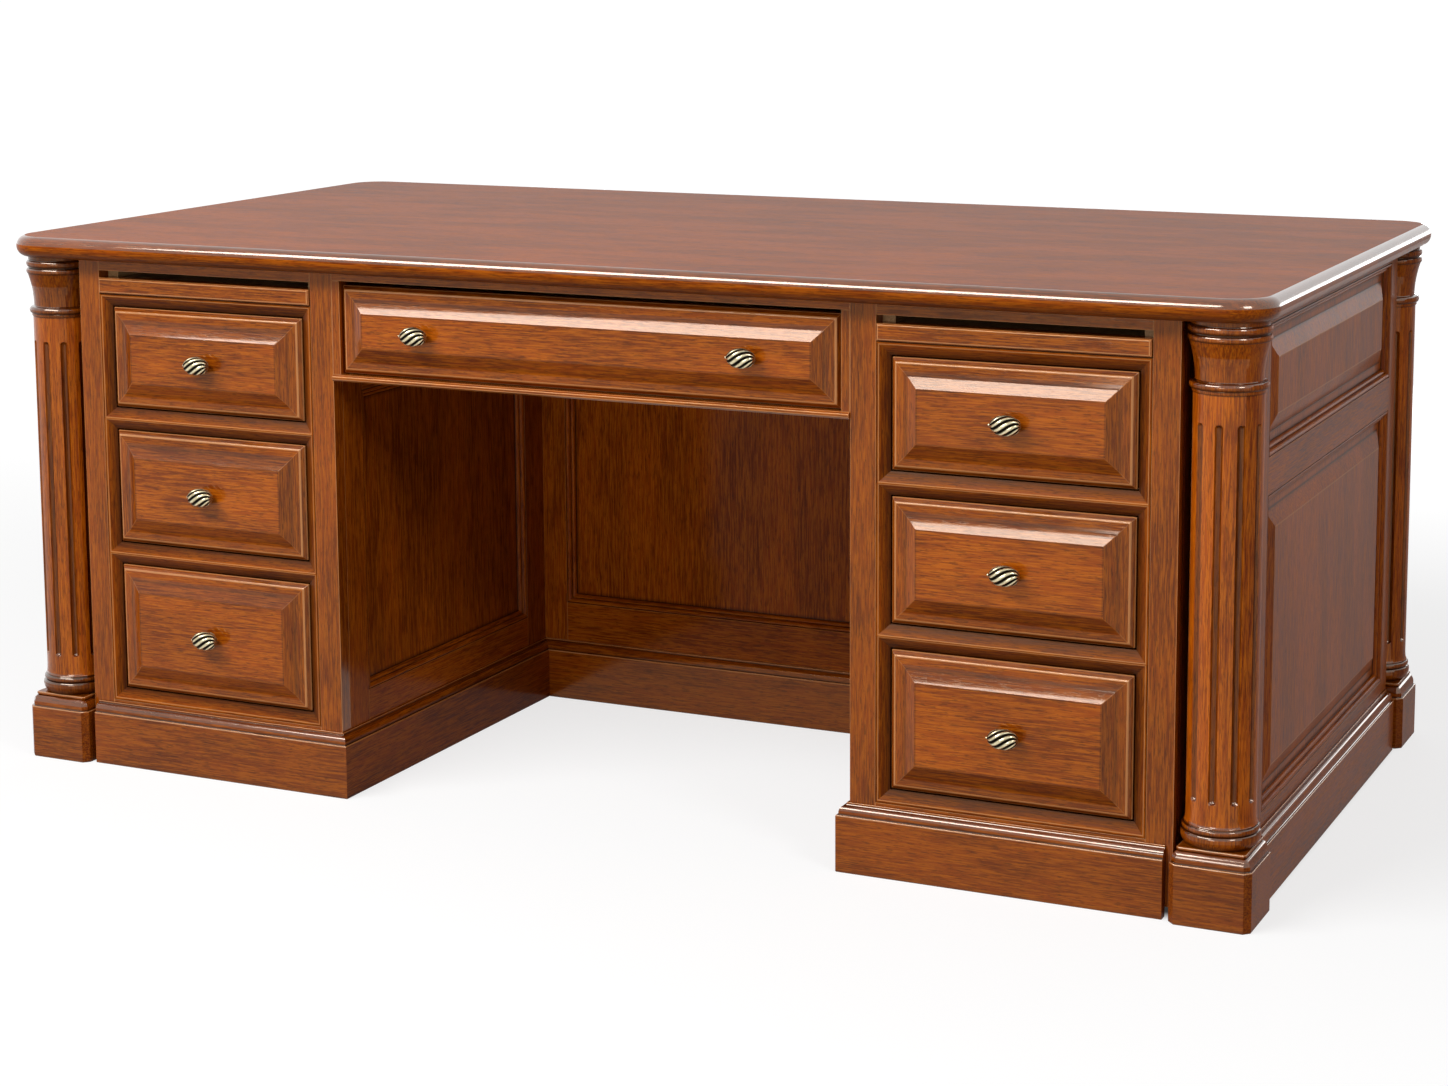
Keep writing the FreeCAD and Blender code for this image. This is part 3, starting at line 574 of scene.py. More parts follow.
def solids(node: str, snap_mm: float = 0.001) -> list[tuple[Array, Array]]:
    """Separate the closed solids in a CAD node's mesh.

    A solid's triangles follow each other, so a solid ends where every edge has met its twin.

    Args:
        node: Name of the CAD node.
        snap_mm: Points as near as this are one.

    Returns:
        Points and triangles of each solid.
    """
    mesh = frame["nodes"][node].data
    mesh.calc_loop_triangles()
    points = np.array([v.co for v in mesh.vertices], float)
    snapped = np.round(points / (snap_mm * MM)).astype(np.int64)
    _, first, merged = np.unique(snapped, axis=0, return_index=True, return_inverse=True)
    merged = merged.reshape(-1)
    triangles = [tuple(merged[list(t.vertices)]) for t in mesh.loop_triangles]
    found, waiting, start = [], set(), 0
    for index, (a, b, c) in enumerate(triangles, start=1):
        for edge in ((a, b), (b, c), (c, a)):
            twin = (edge[1], edge[0])
            if twin in waiting:
                waiting.remove(twin)
            else:
                waiting.add(edge)
        if not waiting:
            used, faces = np.unique(np.array(triangles[start:index]), return_inverse=True)
            found.append((points[first[used]], faces.reshape(-1, 3)))
            start = index
    if waiting:
        raise ValueError(f"{node} has an open solid")
    return found


def boxes(node: str) -> list[tuple[Array, Array]]:
    """Low and high corners of each solid in a CAD node."""
    return [(points.min(axis=0), points.max(axis=0)) for points, _ in solids(node)]


def frame_nodes(words: str) -> list[tuple[str, str]]:
    """CAD nodes whose names hold some words, each with its body."""
    nodes = sorted(frame["nodes"].items())
    return [(name, obj["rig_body"]) for name, obj in nodes if words in name]


def link(name: str, data: Any) -> bpy.types.Object:
    """Put a mesh, lamp or camera in the scene.

    Args:
        name: Name of the object.
        data: What the object shows.

    Returns:
        The new object.
    """
    made = bpy.data.objects.new(name, data)
    bpy.context.scene.collection.objects.link(made)
    return made


def show(name: str, mesh: bpy.types.Mesh, body: str, node: str) -> bpy.types.Object:
    """Put a finished piece in the scene in place of its CAD node.

    Args:
        name: Piece name.
        mesh: Its mesh, in place.
        body: CAD body it rides on.
        node: CAD node it stands for.

    Returns:
        The new object.
    """
    piece = link(name, mesh)
    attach(piece, body)
    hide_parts(node)
    log.info("%s: %d faces on %s", name, len(mesh.polygons), body)
    return piece


class Piece:
    """A piece in the making: boards and mouldings gathered into one mesh, each with its grain."""

    SHIFT = 3.0  # metres that a fresh board's pattern may be moved along the log
    TONE = 0.5  # steps that a fresh board may be paler or darker than asked
    SLOPE_MM = 0.05  # a stretch that runs less than this is level or upright
    MITRE_MM = 0.8  # width of a rubbed mitre
    # Pale arris colour on rising mitres: wear and painted highlight.
    MITRE_WEAR_AND_HIGHLIGHT = 0.25
    SHARP = math.radians(32)  # faces that meet at more than this keep a crisp edge
    LOOKS_UP = 0.1  # least upward part of the normal of a crown, and downward part of a soffit
    LOOKS_ASIDE = 0.7  # least sideways part of the normal of a flank

    def __init__(self, name: str) -> None:
        """Start an empty piece.

        Args:
            name: Piece name, which also seeds the choice of boards.
        """
        self.name = name
        self.points: list[Array] = []
        self.count = 0
        self.faces: list[tuple[int, ...]] = []
        self.glaze: list[float] = []
        self.wear: list[float] = []
        self.moulded: list[bool] = []
        self.board_of: list[int] = []
        self.axes: list[Array] = []
        self.shifts: list[Array] = []
        self.tones: list[float] = []
        self.random = np.random.default_rng(zlib.crc32(name.encode()))

    def board(self, along: Sequence[float], tone: float = 0.0) -> int:
        """Take a fresh board.

        Args:
            along: Direction of its grain.
            tone: How much paler than usual the board is, in steps.

        Returns:
            The board's number.
        """
        along = np.array(along, float)
        across = np.roll(along, 1)
        self.axes.append(np.array([along, across, np.cross(along, across)]))
        self.shifts.append(self.random.uniform(-self.SHIFT, self.SHIFT, 3))
        self.tones.append(tone + self.random.uniform(-self.TONE, self.TONE))
        return len(self.axes) - 1

    def add(self, points: Array, faces: Sequence[Sequence[int]], boards: Sequence[int],
            glaze: Sequence[float] | None = None, wear: Sequence[float] | None = None,
            moulded: Sequence[bool] | None = None) -> None:
        """Add faces with their boards.

        Args:
            points: Corners in metres.
            faces: Corner numbers of each face.
            boards: Board of each face.
            glaze: Dark glaze and painted shade at each corner.
            wear: Rubbing of each face, painted pale as wear and highlight.
            moulded: Whether each face belongs to a moulding.
        """
        self.points.append(points)
        self.faces += [tuple(int(k) + self.count for k in face) for face in faces]
        self.board_of += list(boards)
        self.glaze += list(glaze) if glaze is not None else [0.0] * len(points)
        self.wear += list(wear) if wear is not None else [0.0] * len(faces)
        self.moulded += list(moulded) if moulded is not None else [False] * len(faces)
        self.count += len(points)

    def loft(self, rings: Sequence[Array], steps: Sequence[Step], boards: Sequence[int],
             closed: bool = True, tube: bool = False, flip: bool = False, first: int | None = None,
             last: int | None = None, mitres: Sequence[float] = (0.0,)) -> None:
        """Join a row of equal rings by faces.

        Args:
            rings: Points of each ring.
            steps: Profile point of each ring, for its glaze and painted shade, and its wear and
                painted highlight.
            boards: Board of each side, or one for all.
            closed: Whether each ring closes on itself.
            tube: Whether the last ring joins the first.
            flip: Whether the faces turn over.
            first: Board of a lid on the first ring.
            last: Board of a lid on the last ring.
            mitres: Wear and painted highlight of each side where the profile rises inwards.
        """
        rows, sides = len(rings), len(rings[0])
        faces, owners, wear, moulded = [], [], [], []
        for p in range(rows if tube else rows - 1):
            low, high = p * sides, (p + 1) % rows * sides
            here, there = steps[p], steps[(p + 1) % rows]
            rise, run = there.rise - here.rise, there.inset - here.inset
            rises = rise > self.SLOPE_MM and run > self.SLOPE_MM
            slopes = abs(rise) > self.SLOPE_MM and abs(run) > self.SLOPE_MM
            rubbed = here.corner > 0 and here.corner == there.corner
            for j in range(sides if closed else sides - 1):
                k = (j + 1) % sides
                faces.append((low + j, low + k, high + k, high + j))
                owners.append(boards[j % len(boards)])
                # Rubbed corners and rising mitres get the pale arris colour: wear and painted
                # highlight.
                wear.append(1.0 if rubbed else mitres[j % len(mitres)] * rises)
                moulded.append(slopes)
        if first is not None:
            faces.append(tuple(range(sides - 1, -1, -1)))
            owners.append(first)
        if last is not None:
            faces.append(tuple(range((rows - 1) * sides, rows * sides)))
            owners.append(last)
        if tube and not closed:
            faces.append(tuple(p * sides for p in range(rows)))
            faces.append(tuple(p * sides + sides - 1 for p in range(rows - 1, -1, -1)))
            owners += [boards[0], boards[-1]]
        if flip:
            faces = [face[::-1] for face in faces]
        lids = len(faces) - len(wear)
        glaze = np.repeat([step.glaze for step in steps], sides)
        self.add(np.concatenate(rings), faces, owners, glaze, wear + [0.0] * lids,
                 moulded + [False] * lids)

    def framed(self, facing: Facing, span: Sequence[float], plane: float, steps: Sequence[Step],
               sides: Sequence[int], **choices: Any) -> None:
        """Run a profile round a rectangle, its corners mitred and the mitres rubbed, rising mitres
        painted pale as wear and highlight.

        Args:
            facing: Direction the work looks.
            span: The rectangle across and up.
            plane: Place of the face along the outward axis.
            steps: Profile from the rectangle inwards.
            sides: Boards of the bottom, far, top and near sides, or one for all.
            choices: Boards of lids and the loft's other choices.
        """
        rings = []
        for step in steps:
            corners = inset(rectangle(span), step.inset * MM)
            along = np.roll(corners, -1, axis=0) - corners
            along *= self.MITRE_MM * MM / np.linalg.norm(along, axis=1, keepdims=True)
            pairs = np.stack([corners - np.roll(along, 1, axis=0), corners + along], axis=1)
            rings.append(facing.place(pairs.reshape(-1, 2), plane + step.rise * MM))
        boards = np.repeat(sides if len(sides) == 4 else [sides[0]] * 4, 2).tolist()
        self.loft(rings, steps, boards, mitres=(self.MITRE_WEAR_AND_HIGHLIGHT, 0.0), **choices)

    def eased(self, points: Array, faces: Array, board: int, ease_mm: float) -> None:
        """Add a solid with its sharp edges rubbed round and painted pale, as wear and painted
        highlight.

        Args:
            points: Corners of the solid.
            faces: Its triangles.
            board: Board that it is cut from.
            ease_mm: Width of the rounding.
        """
        flat, sharp = math.radians(1), math.radians(25)
        work = bmesh.new()
        corners = [work.verts.new(p) for p in points]
        for face in faces:
            work.faces.new([corners[k] for k in face])
        bmesh.ops.dissolve_limit(
            work, angle_limit=flat, verts=work.verts[:], edges=work.edges[:])
        arrises = [edge for edge in work.edges
                   if edge.is_manifold and edge.calc_face_angle_signed(0.0) > sharp]
        rubbed = bmesh.ops.bevel(
            work, geom=arrises, offset=ease_mm * MM, offset_type="OFFSET", segments=2, profile=0.5,
            affect="EDGES", clamp_overlap=True)["faces"]
        bmesh.ops.recalc_face_normals(work, faces=work.faces[:])
        work.faces.index_update()
        work.verts.index_update()
        rubbed = {face.index for face in rubbed}
        made = [[v.index for v in face.verts] for face in work.faces]
        wear = [1.0 if face.index in rubbed else 0.0 for face in work.faces]
        self.add(np.array([v.co for v in work.verts]), made, [board] * len(made), None, wear)
        work.free()

    def finish(self, coats: Coats, body: str, node: str,
               slot: Slot = Slot.SHOW_WOOD) -> bpy.types.Object:
        """Turn the work into an object that rides on a body and stands for a CAD node.

        Args:
            coats: Materials by where the faces look.
            body: CAD body it moves with.
            node: CAD node it replaces.
            slot: Material slot of the record; not used.

        Returns:
            The finished object.
        """
        points = np.concatenate(self.points)
        mesh = bpy.data.meshes.new(self.name)
        mesh.from_pydata(points.tolist(), [], self.faces)
        owner = np.array(self.board_of)
        corner = np.empty(len(mesh.loops), np.int32)
        mesh.loops.foreach_get("vertex_index", corner)
        board = np.repeat(owner, [len(face) for face in self.faces])
        grain = np.einsum("kij,kj->ki", np.array(self.axes)[board], points[corner])
        grain += np.array(self.shifts)[board]
        # The glaze attribute holds glaze and painted shade, the wear attribute wear and painted
        # highlight.
        for name, kind, domain, field, values in (
            ("grain", "FLOAT_VECTOR", "CORNER", "vector", grain.ravel()),
            ("glaze", "FLOAT", "POINT", "value", self.glaze),
            ("wear", "FLOAT", "FACE", "value", self.wear),
            ("tone", "FLOAT", "FACE", "value", np.array(self.tones)[owner]),
        ):
            mesh.attributes.new(name, kind, domain).data.foreach_set(field, values)
        mesh.shade_smooth()
        mesh.set_sharp_from_angle(angle=self.SHARP)
        mesh.materials.append(coats.plain)
        normals = np.empty(3 * len(mesh.polygons))
        mesh.polygons.foreach_get("normal", normals)
        aside, _, upward = normals.reshape(-1, 3).T
        moulded = np.array(self.moulded)
        index = np.zeros(len(mesh.polygons), np.int32)
        for material, chosen in (
            (coats.crown, moulded & (upward > self.LOOKS_UP)),
            (coats.soffit, moulded & (upward < -self.LOOKS_UP)),
            (coats.flank, np.abs(aside) > self.LOOKS_ASIDE),
        ):
            if material:
                mesh.materials.append(material)
                index[chosen] = len(mesh.materials) - 1
        mesh.polygons.foreach_set("material_index", index)
        piece = show(self.name, mesh, body, node)
        piece.modifiers.new("flat_faces", "WEIGHTED_NORMAL").keep_sharp = True
        return piece


@dataclass
class Top:
    """The top board with its bullnose edge."""

    node: str = "desk_top"
    corner_mm: float = 58.0
    nose_mm: float = 14.6
    nose_turn: int = 10
    # Painted shade on the nose's lower half, and how fast it thins towards the middle.
    glaze: float = 0.6
    glaze_fade: float = 0.7
    end_look: float = 0.98
    flat_look: float = 0.99

    def build(self, coats: Coats) -> None:
        """Run the nose round the board and close it above and below.

        Args:
            coats: Plain for the nose's lower half, crown for its upper half, and flank for the
                flat writing surface and the straight ends.
        """
        low, high = boxes(self.node)[0]
        left, right, front, back = Facing.UP.spans(low, high)[:4]
        nose = self.nose_mm * MM
        rings, steps = [], []
        for degrees in range(-90, 91, self.nose_turn):
            angle = math.radians(degrees)
            # The nose's lower half is darkened towards its underside: painted shade.
            steps.append(Step(0, 0, self.glaze * max(0.0, -math.sin(angle)) ** self.glaze_fade))
            cut = nose * (1 - math.cos(angle))
            centre = low[2] + nose if angle < 0 else high[2] - nose
            outline = rounded((left + cut, right - cut, front + cut, back - cut),
                              self.corner_mm * MM - cut)
            rings.append(Facing.UP.place(outline, centre + nose * math.sin(angle)))
        piece = Piece("top_bullnose_board")
        board = piece.board(X)
        piece.loft(rings, steps, [board], first=board, last=board)
        mesh = piece.finish(Coats(coats.plain), "desk", self.node).data
        for material in (coats.crown, coats.flank):
            mesh.materials.append(material)
        for face in mesh.polygons:
            flat = abs(face.normal.x) > self.end_look or face.normal.z > self.flat_look
            face.material_index = 2 if flat else int(face.normal.z > Piece.LOOKS_UP)


@dataclass
class Joinery:
    """Plain boards of one node, each with its own grain and rubbed edges."""

    node: str
    body: str = "desk"
    ease_mm: float = 0.7
    slot: Slot = Slot.SHOW_WOOD
    tone: float = -0.6

    def build(self, coats: Coats) -> None:
        """Ease every board; the grain runs along its longest side.

        Args:
            coats: Plain for all boards.
        """
        piece = Piece(f"{self.node}_boards")
        for points, faces in solids(self.node):
            along = (X, Y, Z)[int(np.argmax(np.ptp(points, axis=0)))]
            piece.eased(points, faces, piece.board(along, self.tone), self.ease_mm)
        piece.finish(coats, self.body, self.node, self.slot)


@dataclass
class FramedWork:
    """Mouldings or panels set in framed openings, looking out of the desk or into the kneehole."""

    node: str
    inward: bool = False

    def facing(self, low: Array, high: Array) -> Facing:
        """Find the direction that one solid of the node looks.

        Args:
            low: Lowest corner of the solid.
            high: Highest corner of the solid.

        Returns:
            The direction across its thinnest side.
        """
        thin = int(np.argmin(high - low))
        outward = (low[thin] + high[thin] > 0) != self.inward
        choices = ((Facing.LEFT, Facing.RIGHT), (Facing.FRONT, Facing.BACK))
        return choices[thin][int(outward)]


@dataclass
class Stickings(FramedWork):
    """Double-bead mouldings that hold the panels, with dark glaze and painted shade in their
    quirks.

    The steps before each bead are the quirk that it rises from; a bead runs from its crest, the
    last of those steps, down to its own end.
    """

    first_quirk: tuple[Step, ...] = (
        Step(0, -10.0), Step(0, -0.2, 0.5), Step(0.9, -1.5, 1.0), Step(1.2, -0.5, 0.5),
        Step(2.0, 0.0, 0.1))
    first_end: Step = Step(6.6, -4.8, 0.4)
    second_quirk: tuple[Step, ...] = (
        Step(7.2, -5.6, 1.0), Step(7.5, -5.0, 0.5), Step(8.2, -4.6, 0.1))
    second_end: Step = Step(12.5, -9.3, 0.7)
    panel_edge: Step = Step(13.0, -10.0, 1.0)

    def build(self, coats: Coats) -> None:
        """Run the two beads round every opening of the node.

        Args:
            coats: Plain for all mouldings.
        """
        steps = []
        for quirk, end in ((self.first_quirk, self.first_end),
                           (self.second_quirk, self.second_end)):
            steps += [*quirk, *quarter(quirk[-1], end, Turn.LEVEL)]
        steps.append(self.panel_edge)
        piece = Piece(f"{self.node}_beads")
        for low, high in boxes(self.node):
            facing = self.facing(low, high)
            span = facing.spans(low, high)
            sides = [piece.board(facing.value[k % 2]) for k in range(4)]
            piece.framed(facing, span, span[5], steps, sides, tube=True)
        piece.finish(coats, "desk", self.node)


@dataclass
class Panels(FramedWork):
    """Panels behind the mouldings: raised inside a wide bevel, or flat."""

    raised: bool = True
    moulding_mm: float = 13.0
    thick_mm: float = 8.0
    border_mm: float = 12.0
    bevel_mm: float = 22.0
    raise_mm: float = 8.0

    def steps(self) -> list[Step]:
        """Draw the profile from the panel's hidden edge inwards.

        Returns:
            The profile: a margin darkened along the moulding with glaze and painted shade, then the
                bevel of a raised panel, darkened at its foot the same way.
        """
        edge = self.moulding_mm
        steps = [Step(0, -self.thick_mm), Step(0, 0, 0.9), Step(edge, 0, 0.95),
                 Step(edge + 2.0, 0, 0.45), Step(edge + 6.0, 0)]
        if self.raised:
            start = edge + self.border_mm
            end = start + self.bevel_mm
            steps += [Step(start - 3.0, 0, 0.1), Step(start - 0.6, 0, 0.8), Step(start, 0.1, 0.95),
                      Step(start + 1.6, 0.7, 0.3), Step(start + 5.0, 2.0),
                      Step(end, self.raise_mm, 0.0, 1.0), Step(end + 3.0, self.raise_mm)]
        return soften(steps)

    def build(self, coats: Coats) -> None:
        """Make each panel of the node, its grain upright.

        Args:
            coats: Plain for all panels.
        """
        piece = Piece(f"{self.node}_boards")
        for low, high in boxes(self.node):
            facing = self.facing(low, high)
            span = facing.spans(low, high)
            plane = span[5] - (self.raise_mm * MM if self.raised else 0.0)
            board = piece.board(Z)
            piece.framed(facing, span, plane, self.steps(), [board], first=board, last=board)
        piece.finish(coats, "desk", self.node)


@dataclass
class DrawerSurround:
    """The bevelled moulding round the three drawer openings of one pedestal."""

    side: Side
    gap_mm: float = 2.0
    bevel_mm: float = 14.0
    depth_mm: float = 8.0
    thick_mm: float = 22.0

    def slope(self) -> list[Step]:
        """Draw the bevel from its ridge down to the opening, darker with its depth: glaze and
        painted shade.

        Returns:
            The profile; its insets are negative, because it lies outside the opening.
        """
        return soften([
            Step(-self.bevel_mm - 1.0, 0.0), Step(-self.bevel_mm, 0.0, 0.2, 1.0),
            Step(-0.6 * self.bevel_mm, -0.4 * self.depth_mm, 0.55),
            Step(-2.0, 1.1 - self.depth_mm, 0.85), Step(0.0, -self.depth_mm, 0.95),
            Step(0.0, -self.thick_mm, 1.0),
        ])

    def build(self, coats: Coats) -> None:
        """Bevel each opening; neighbours meet in a ridge half way between them.

        Args:
            coats: Plain for the whole moulding.
        """
        node = self.side.named("drawer_moulding")
        face = Facing.FRONT
        left, right, base, top, _, plane = face.spans(*boxes(node)[0])
        gap = self.gap_mm * MM
        clear = []
        for level in ("bottom", "middle", "top"):
            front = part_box(self.side.named(f"{level}_drawer_front"))
            drawer = face.spans(*(np.array(corner) for corner in front))
            clear.append((drawer[0] - gap, drawer[1] + gap, drawer[2] - gap, drawer[3] + gap))
        between = [(lower[3] + upper[2]) / 2 for lower, upper in zip(clear, clear[1:])]
        ridges = [base, *between, top]
        slope = self.slope()
        piece = Piece(f"{node}_bevels")
        for opening, floor, ceiling in zip(clear, ridges, ridges[1:]):
            cell = rectangle((left, right, floor, ceiling))
            rings = [face.place(cell, plane - self.thick_mm * MM), face.place(cell, plane)]
            for step in slope:
                edge = inset(rectangle(opening), step.inset * MM)
                rings.append(face.place(edge, plane + step.rise * MM))
            sides = [piece.board((X, Z)[k % 2]) for k in range(4)]
            piece.loft(rings, [Step(0, 0), Step(0, 0, 0.9), *slope], sides, tube=True)
        piece.finish(coats, "desk", node)


@dataclass
class Plinths:
    """Plinth runs: a plain face, a step, a quarter round and a thin cap."""

    proud_mm: float = 14.0
    face_mm: float = 75.0
    height_mm: float = 90.0
    cap_mm: float = 3.0
    step_mm: float = 3.0
    overlap_mm: float = 3.0
    return_m: float = 0.1
    tone: float = -1.5
    modesty_node: str = "modesty_plinths"

    def steps(self) -> list[Step]:
        """Draw the profile from the floor up; insets are how far it stands proud of the wall.

        Returns:
            The profile with its round corners.
        """
        proud, face, height = self.proud_mm, self.face_mm, self.height_mm
        back = proud - self.step_mm
        neck = Step(back, face + 3.2)
        # Glaze values in this profile paint shade in its creases as well as glaze.
        steps = [Step(0, 0), Step(proud - 0.8, 0, 0.5), Step(proud, 1.2, 0.3), Step(proud, 8.0),
                 Step(proud, face, 0.0, 1.5), Step(proud - 2.4, face + 0.1, 0.5),
                 Step(back, face + 0.6, 1.0), neck]
        steps += quarter(neck, Step(self.cap_mm + 0.4, height - 3.2, 0.6), Turn.UPRIGHT)
        steps += [Step(self.cap_mm, height - 2.6, 0.8), Step(self.cap_mm, height, 0.0, 0.8),
                  Step(0, height, 0.9)]
        return soften(steps)

    def run(self, piece: Piece, path: Sequence[tuple[float, float]]) -> None:
        """Sweep the profile along a path whose left side is the outside.

        Args:
            piece: Piece that gets the run.
            path: Plan points on the wall line.
        """
        steps = self.steps()
        rings = []
        for step in steps:
            plan = inset(np.array(path), step.inset * MM, closed=False)
            rings.append(Facing.UP.place(plan, step.rise * MM))
        boards = []
        for (x0, y0), (x1, y1) in zip(path, path[1:]):
            boards.append(piece.board(X if abs(x1 - x0) > abs(y1 - y0) else Y, self.tone))
        piece.loft(rings, steps, boards, closed=False, tube=True, flip=True)

    def build(self, coats: Coats) -> None:
        """Make both pedestals' runs and the two under the modesty panel.

        Args:
            coats: Plain for the faces, crown for the mouldings and flank for the sides.
        """
        proud = self.proud_mm * MM
        for side in (Side.RIGHT, Side.LEFT):
            node = side.named("plinth")
            piece = Piece(f"{node}_runs")
            for low, high in boxes(node):
                near, far = sorted((abs(low[0]), abs(high[0])))
                front, back = low[1] + proud, high[1] - proud
                if far - near > self.return_m:
                    inner = near + proud
                    path = [(far, front), (inner, front), (inner, back), (far, back)]
                else:
                    path = [(far - proud, high[1]), (far - proud, low[1])]
                path = [(side.value * x, y) for x, y in path]
                self.run(piece, path if side is Side.RIGHT else path[::-1])
            piece.finish(coats, "desk", node)
        runs = boxes(self.modesty_node)
        middle = np.mean([low[1] for low, _ in runs])
        piece = Piece("modesty_plinth_runs")
        for low, high in runs:
            knee = high[0] + self.overlap_mm * MM
            wall, start = (high[1], knee) if low[1] < middle else (low[1], -knee)
            self.run(piece, [(start, wall), (-start, wall)])
        piece.finish(Coats(coats.plain), "desk", self.modesty_node)


@dataclass
class Blocks:
    """Moulded blocks under the columns."""

    node: str = "column_blocks"
    chamfer_mm: float = 8.0
    face_mm: float = 75.0
    cove: Step = Step(10.5, 90.4, 0.5)
    cap: tuple[Step, ...] = (
        Step(10.5, 91.0, 0.9), Step(8.8, 91.0, 0.5), Step(8.0, 91.8), Step(8.0, 95.0, 0.0, 1.4),
        Step(14.0, 95.0, 0.3))
    tone: float = -2.0

    def steps(self) -> list[Step]:
        """Draw the profile from the floor up.

        Returns:
            The profile with its round corners.
        """
        face = self.face_mm
        neck = Step(3.0, face + 4.0)
        # Glaze values in this profile paint shade in its creases as well as glaze.
        steps = [Step(0.8, 0, 0.5), Step(0, 1.2, 0.3), Step(0, 8.0), Step(0, face, 0.0, 1.5),
                 Step(2.4, face + 0.2, 0.5), Step(3.0, face + 0.8, 1.0), Step(3.0, face + 2.4, 0.2),
                 neck]
        return soften([*steps, *quarter(neck, self.cove, Turn.UPRIGHT), *self.cap])

    def build(self, coats: Coats) -> None:
        """Run the profile round each block's eight sides.

        Args:
            coats: Plain for the faces, crown for the mouldings and flank for the sides.
        """
        steps = self.steps()
        cut = self.chamfer_mm * MM
        piece = Piece("column_blocks_moulded")
        for low, high in boxes(self.node):
            (a, c), (b, d) = low[:2], high[:2]
            outline = np.array([
                (a + cut, c), (b - cut, c), (b, c + cut), (b, d - cut), (b - cut, d), (a + cut, d),
                (a, d - cut), (a, c + cut)])
            rings = [Facing.UP.place(inset(outline, s.inset * MM), s.rise * MM) for s in steps]
            board = piece.board(X, self.tone)
            piece.loft(rings, steps, [board], first=board, last=board)
        piece.finish(coats, "desk", self.node)


class NodeWork:
    """A Geometry Nodes tree with named inputs, run once for each object that needs it."""

    def __init__(self, name: str, sizes: dict[str, float]) -> None:
        """Make the tree's inputs.

        Args:
            name: Tree name.
            sizes: Named sizes with their values.
        """
        self.tree = bpy.data.node_groups.new(name, "GeometryNodeTree")
        face = self.tree.interface
        face.new_socket("Geometry", in_out="OUTPUT", socket_type="NodeSocketGeometry")
        kinds = {"Points": "Geometry", **{key: "Float" for key in sizes}, "Finish": "Material"}
        self.sockets = {
            key: face.new_socket(key, in_out="INPUT", socket_type=f"NodeSocket{kind}")
            for key, kind in kinds.items()}
        self.sizes = sizes
        self.entry = add_node(self.tree, "NodeGroupInput").outputs

    def close(self, template: Socket) -> None:
        """Set the template on every point, make it real and give it its finish.

        Args:
            template: Geometry of one repeat, at the origin.
        """
        spread = add_node(self.tree, "GeometryNodeInstanceOnPoints", None, {
            "Points": self.entry["Points"], "Instance": template,
        })
        real = add_node(self.tree, "GeometryNodeRealizeInstances", None, {0: spread.outputs[0]})
        done = add_node(self.tree, "GeometryNodeSetMaterial", None, {
            "Geometry": real.outputs[0], "Material": self.entry["Finish"],
        })
        add_node(self.tree, "NodeGroupOutput", None, {"Geometry": done.outputs[0]})

    def run(self, name: str, points: Sequence[Sequence[float]],
            finish: Material) -> bpy.types.Mesh:
        """Work the tree on some points.

        Args:
            name: Name of the mesh.
            points: Places of the template's origin.
            finish: Material for the result.

        Returns:
            A plain mesh.
        """
        seed = bpy.data.meshes.new(f"{name}_points")
        seed.from_pydata([tuple(p) for p in points], [], [])
        host = link(f"{name}_host", seed)
        modifier = host.modifiers.new("work", "NODES")
        modifier.node_group = self.tree
        for key, value in {**self.sizes, "Finish": finish}.items():
            modifier[self.sockets[key].identifier] = value
        graph = bpy.context.evaluated_depsgraph_get()
        mesh = bpy.data.meshes.new_from_object(host.evaluated_get(graph), depsgraph=graph)
        mesh.name = name
        bpy.data.objects.remove(host)
        bpy.data.meshes.remove(seed)
        return mesh


@dataclass(frozen=True)
class Bead:
    """A full round of a turning between two points of its profile, in millimetres.

    Each glaze is how much glaze and painted shade lie at the round's foot, and how that changes
    along the round.
    """

    start: Step
    end: Step
    swell: float
    count: int = 11
    low_glaze: tuple[float, float] = (0.85, -1.9)
    high_glaze: tuple[float, float] = (-3.2, 4.0)

    def steps(self) -> list[Step]:
        """Draw the round; glaze and painted shade lie along both its ends.

        Returns:
            The points from the start to the end.
        """
        points = [self.start]
        (low, thins), (high, thickens) = self.low_glaze, self.high_glaze
        for k in range(1, self.count + 1):
            angle = math.pi * (k / self.count - 0.5)
            share = (1 + math.sin(angle)) / 2
            points.append(Step(
                self.start.inset + (self.end.inset - self.start.inset) * share
                + self.swell * math.cos(angle),
                self.start.rise + (self.end.rise - self.start.rise) * share,
                max(0.0, low + thins * share, high + thickens * share),
            ))
        return points


